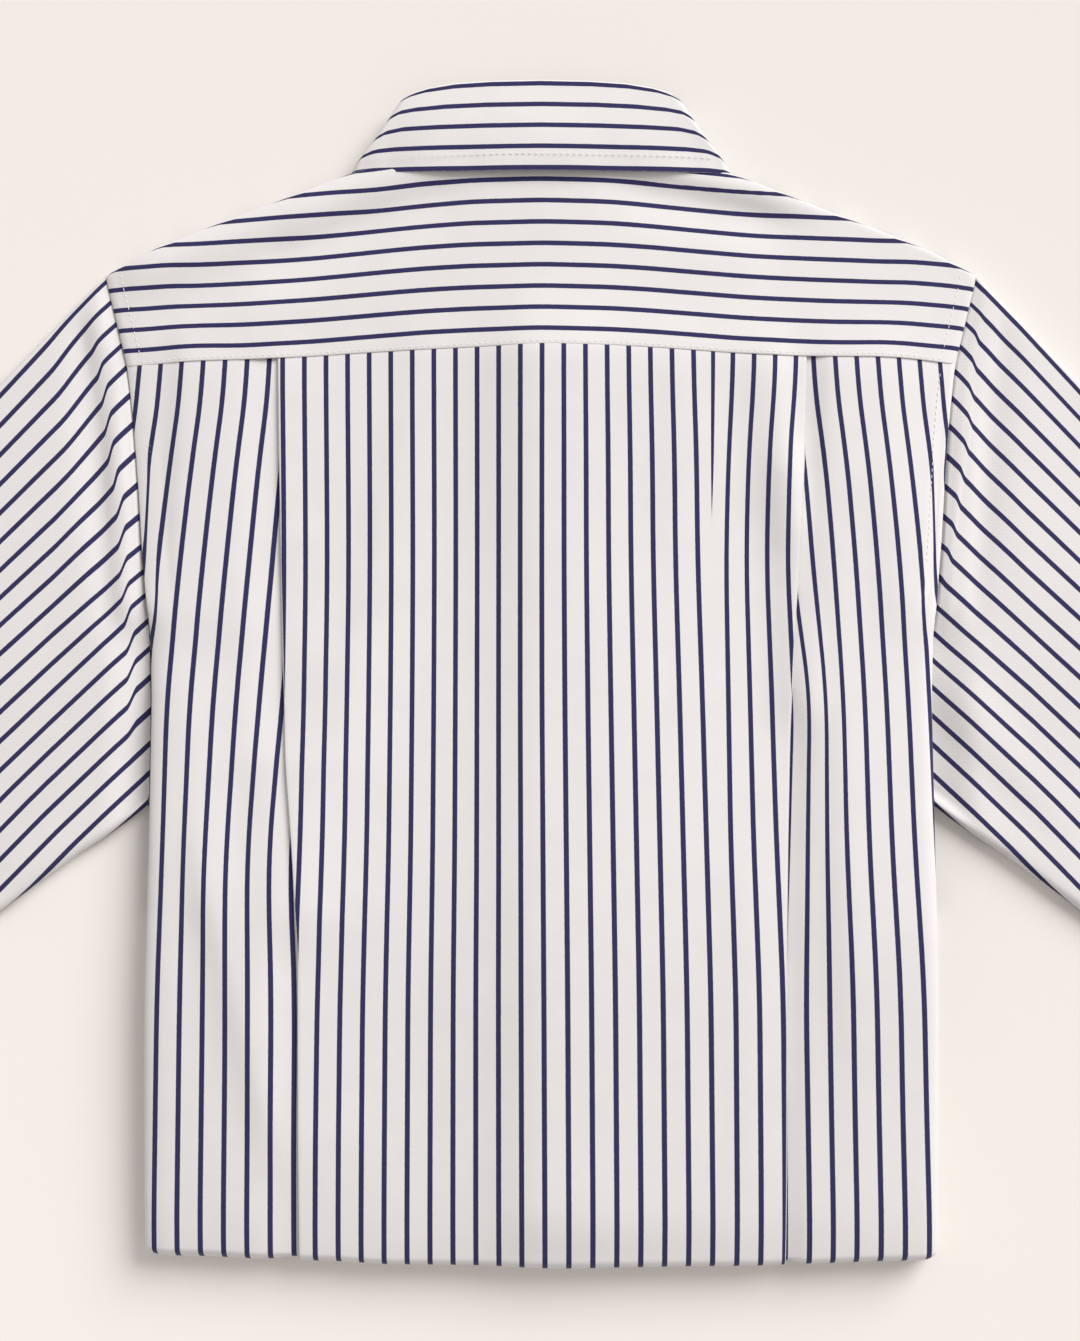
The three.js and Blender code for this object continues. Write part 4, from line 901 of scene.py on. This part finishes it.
for hand, side_name in ((-1, "left"), (1, "right")):
    low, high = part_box(f"cuff_button_{side_name}")
    cx, cy, z0 = (low.x + high.x) / 2, (low.y + high.y) / 2, low.z + 0.0009
    bpy.ops.object.select_all(action="DESELECT")
    bpy.ops.mesh.primitive_cylinder_add(
        vertices=48, radius=0.0055, depth=0.0022, location=(cx, cy, z0 + 0.0011)
    )
    button = bpy.context.object
    button.name = f"pearl_button_{side_name}"
    bpy.ops.object.transform_apply(location=True, rotation=True, scale=True)
    bpy.ops.object.mode_set(mode="EDIT")
    bpy.ops.mesh.select_mode(type="FACE")
    bpy.ops.mesh.select_all(action="DESELECT")
    bpy.ops.object.mode_set(mode="OBJECT")
    for face in button.data.polygons:
        face.select = face.normal.z > 0.9
    bpy.ops.object.mode_set(mode="EDIT")
    bpy.ops.mesh.inset(thickness=0.0013)
    bpy.ops.mesh.inset(thickness=0.0006)
    bpy.ops.transform.translate(value=(0, 0, -0.0007))
    bpy.ops.object.mode_set(mode="OBJECT")
    for k in range(4):
        angle = math.pi / 4 + k * math.pi / 2
        bpy.ops.object.select_all(action="DESELECT")
        bpy.ops.mesh.primitive_cylinder_add(
            vertices=16, radius=0.00075, depth=0.006,
            location=(cx + 0.0013 * math.cos(angle), cy + 0.0013 * math.sin(angle), z0),
        )
        drill = bpy.context.object
        select_only(button)
        hole = button.modifiers.new("hole", "BOOLEAN")
        hole.object = drill
        hole.operation = "DIFFERENCE"
        hole.solver = "EXACT"
        bpy.ops.object.modifier_apply(modifier=hole.name)
        bpy.data.objects.remove(drill)
    bevel = button.modifiers.new("pressed_edges", "BEVEL")
    bevel.width = 0.00022
    bevel.segments = 3
    bevel.limit_method = "ANGLE"
    bevel.angle_limit = math.radians(35)
    bpy.ops.object.modifier_apply(modifier=bevel.name)
    bpy.ops.object.shade_smooth_by_angle(angle=math.radians(40))
    button.data.materials.append(pearl)
    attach(button, "root")
    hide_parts(f"cuff_button_{side_name}")

# ---- Stitching
# White spun polyester thread, soft and slightly silkier than the cloth, about seven stitches to the inch. Each
# stitch is a small capsule, a little thicker than the real 0.3 mm, that sinks into the cloth at its ends.
thread, tree, shader = new_material("spun_polyester_thread", "#e6e4e2", 0.6, IOR=1.5, Sheen_Weight=0.2)
place = add_node(tree, "TexCoord").outputs["Object"]
twist = add_node(tree, "TexNoise", Vector=place, Scale=900.0, Detail=2.0)
shade = add_node(
    tree, "Mix", {"data_type": "RGBA"},
    Factor=twist.outputs["Fac"], _6=linear("#e6e4e2"), _7=linear("#f4f2f0"),
)
tree.links.new(shade.outputs[2], shader.inputs["Base Color"])


STITCH_LONG = 2.2
STITCH_GAP = 1.2
THREAD_HALF = 0.19  # half the thread's thickness
# A stitch's cross-sections along it: where, how wide, and how far out of the cloth, as shares.
STITCH_FORM = [(0, 0.35, -0.9), (0.25, 0.9, 0.2), (0.5, 1, 0.5), (0.75, 0.9, 0.2), (1, 0.35, -0.9)]


def sew_stitches(name, path):
    """A row of stitches along a path of points in mm, which lies on the cloth's face."""
    path = np.asarray(path, float)
    steps = np.hypot(np.hypot(*np.diff(path[:, :2], axis=0).T), np.diff(path[:, 2]))
    length = np.concatenate([[0], np.cumsum(steps)])
    vertices, faces = [], []
    at = STITCH_GAP
    while at + STITCH_LONG < length[-1]:
        ring_start = len(vertices)
        places = [at + STITCH_LONG * share for share, _, _ in STITCH_FORM]
        middles = np.array([np.interp(places, length, path[:, c]) for c in range(3)]).T
        ahead = middles[-1] - middles[0]
        ahead /= np.linalg.norm(ahead)
        beside = np.cross(ahead, (0, 0, 1))
        beside /= np.linalg.norm(beside)
        above = np.cross(beside, ahead)
        for point, (_, wide, lift) in zip(middles, STITCH_FORM):
            for k in range(6):
                angle = k * math.pi / 3
                out = wide * (beside * math.cos(angle) + above * math.sin(angle)) + lift * above
                vertices.append(point + THREAD_HALF * out)
        for ring in range(4):
            for k in range(6):
                a, b = ring_start + ring * 6 + k, ring_start + ring * 6 + (k + 1) % 6
                faces.append((a, b, b + 6, a + 6))
        faces.append(tuple(ring_start + k for k in reversed(range(6))))
        faces.append(tuple(ring_start + 24 + k for k in range(6)))
        at += STITCH_LONG + STITCH_GAP
    points = np.array(vertices)
    points[:, 1] -= middle_up
    row = new_piece(name, points, faces)
    bpy.ops.object.mode_set(mode="EDIT")
    bpy.ops.mesh.select_all(action="SELECT")
    bpy.ops.mesh.normals_make_consistent(inside=False)
    bpy.ops.object.mode_set(mode="OBJECT")
    row.data.materials.append(thread)
    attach(row, "root")


share = 0.15  # about 6 mm from the collar's edge
x = np.linspace(-1, 1, 120) * (collar_half_width(share) - 8)
up = COLLAR_LOW_UP + COLLAR_FULL * (share + 0.01) - collar_drop(x / collar_half_width(share), share)
sew_stitches("collar_stitching", np.stack([x, up, collar_top(x, share)], 1))

x = np.linspace(-214, 214, 300)
up = yoke_seam_up(x) + 1.8
sew_stitches("yoke_seam_stitching", np.stack([x, up, body_top(x, up) + YOKE_RISE], 1))

for sign, side_name in ((-1, "left"), (1, "right")):
    up = np.linspace(yoke_seam_up(215) + 4, 527, 60)
    x = sign * (body_side(up) - 8.6)
    sew_stitches(f"armhole_stitching_yoke_{side_name}", np.stack([x, up, body_top(x, up) + YOKE_RISE], 1))
    up = np.linspace(372, 474, 60)
    x = sign * (body_side(up) - 8)
    sew_stitches(f"armhole_stitching_back_{side_name}", np.stack([x, up, body_top(x, up)], 1))
    for offset in (-PLACKET_WIDTH / 2 + 1.6, PLACKET_WIDTH / 2 - 1.6):
        along = np.linspace(SLEEVE_LENGTH - 2, SLEEVE_LENGTH - 0.87 * PLACKET_LENGTH, 30)
        across = OPENING_ACROSS + offset + 0 * along
        x, y = sleeve_plan(sign, along, across)
        row = f"placket_stitching_{side_name}_{'a' if offset < 0 else 'b'}"
        sew_stitches(row, np.stack([x, y, sleeve_face(sign, along, across) + 1.15], 1))
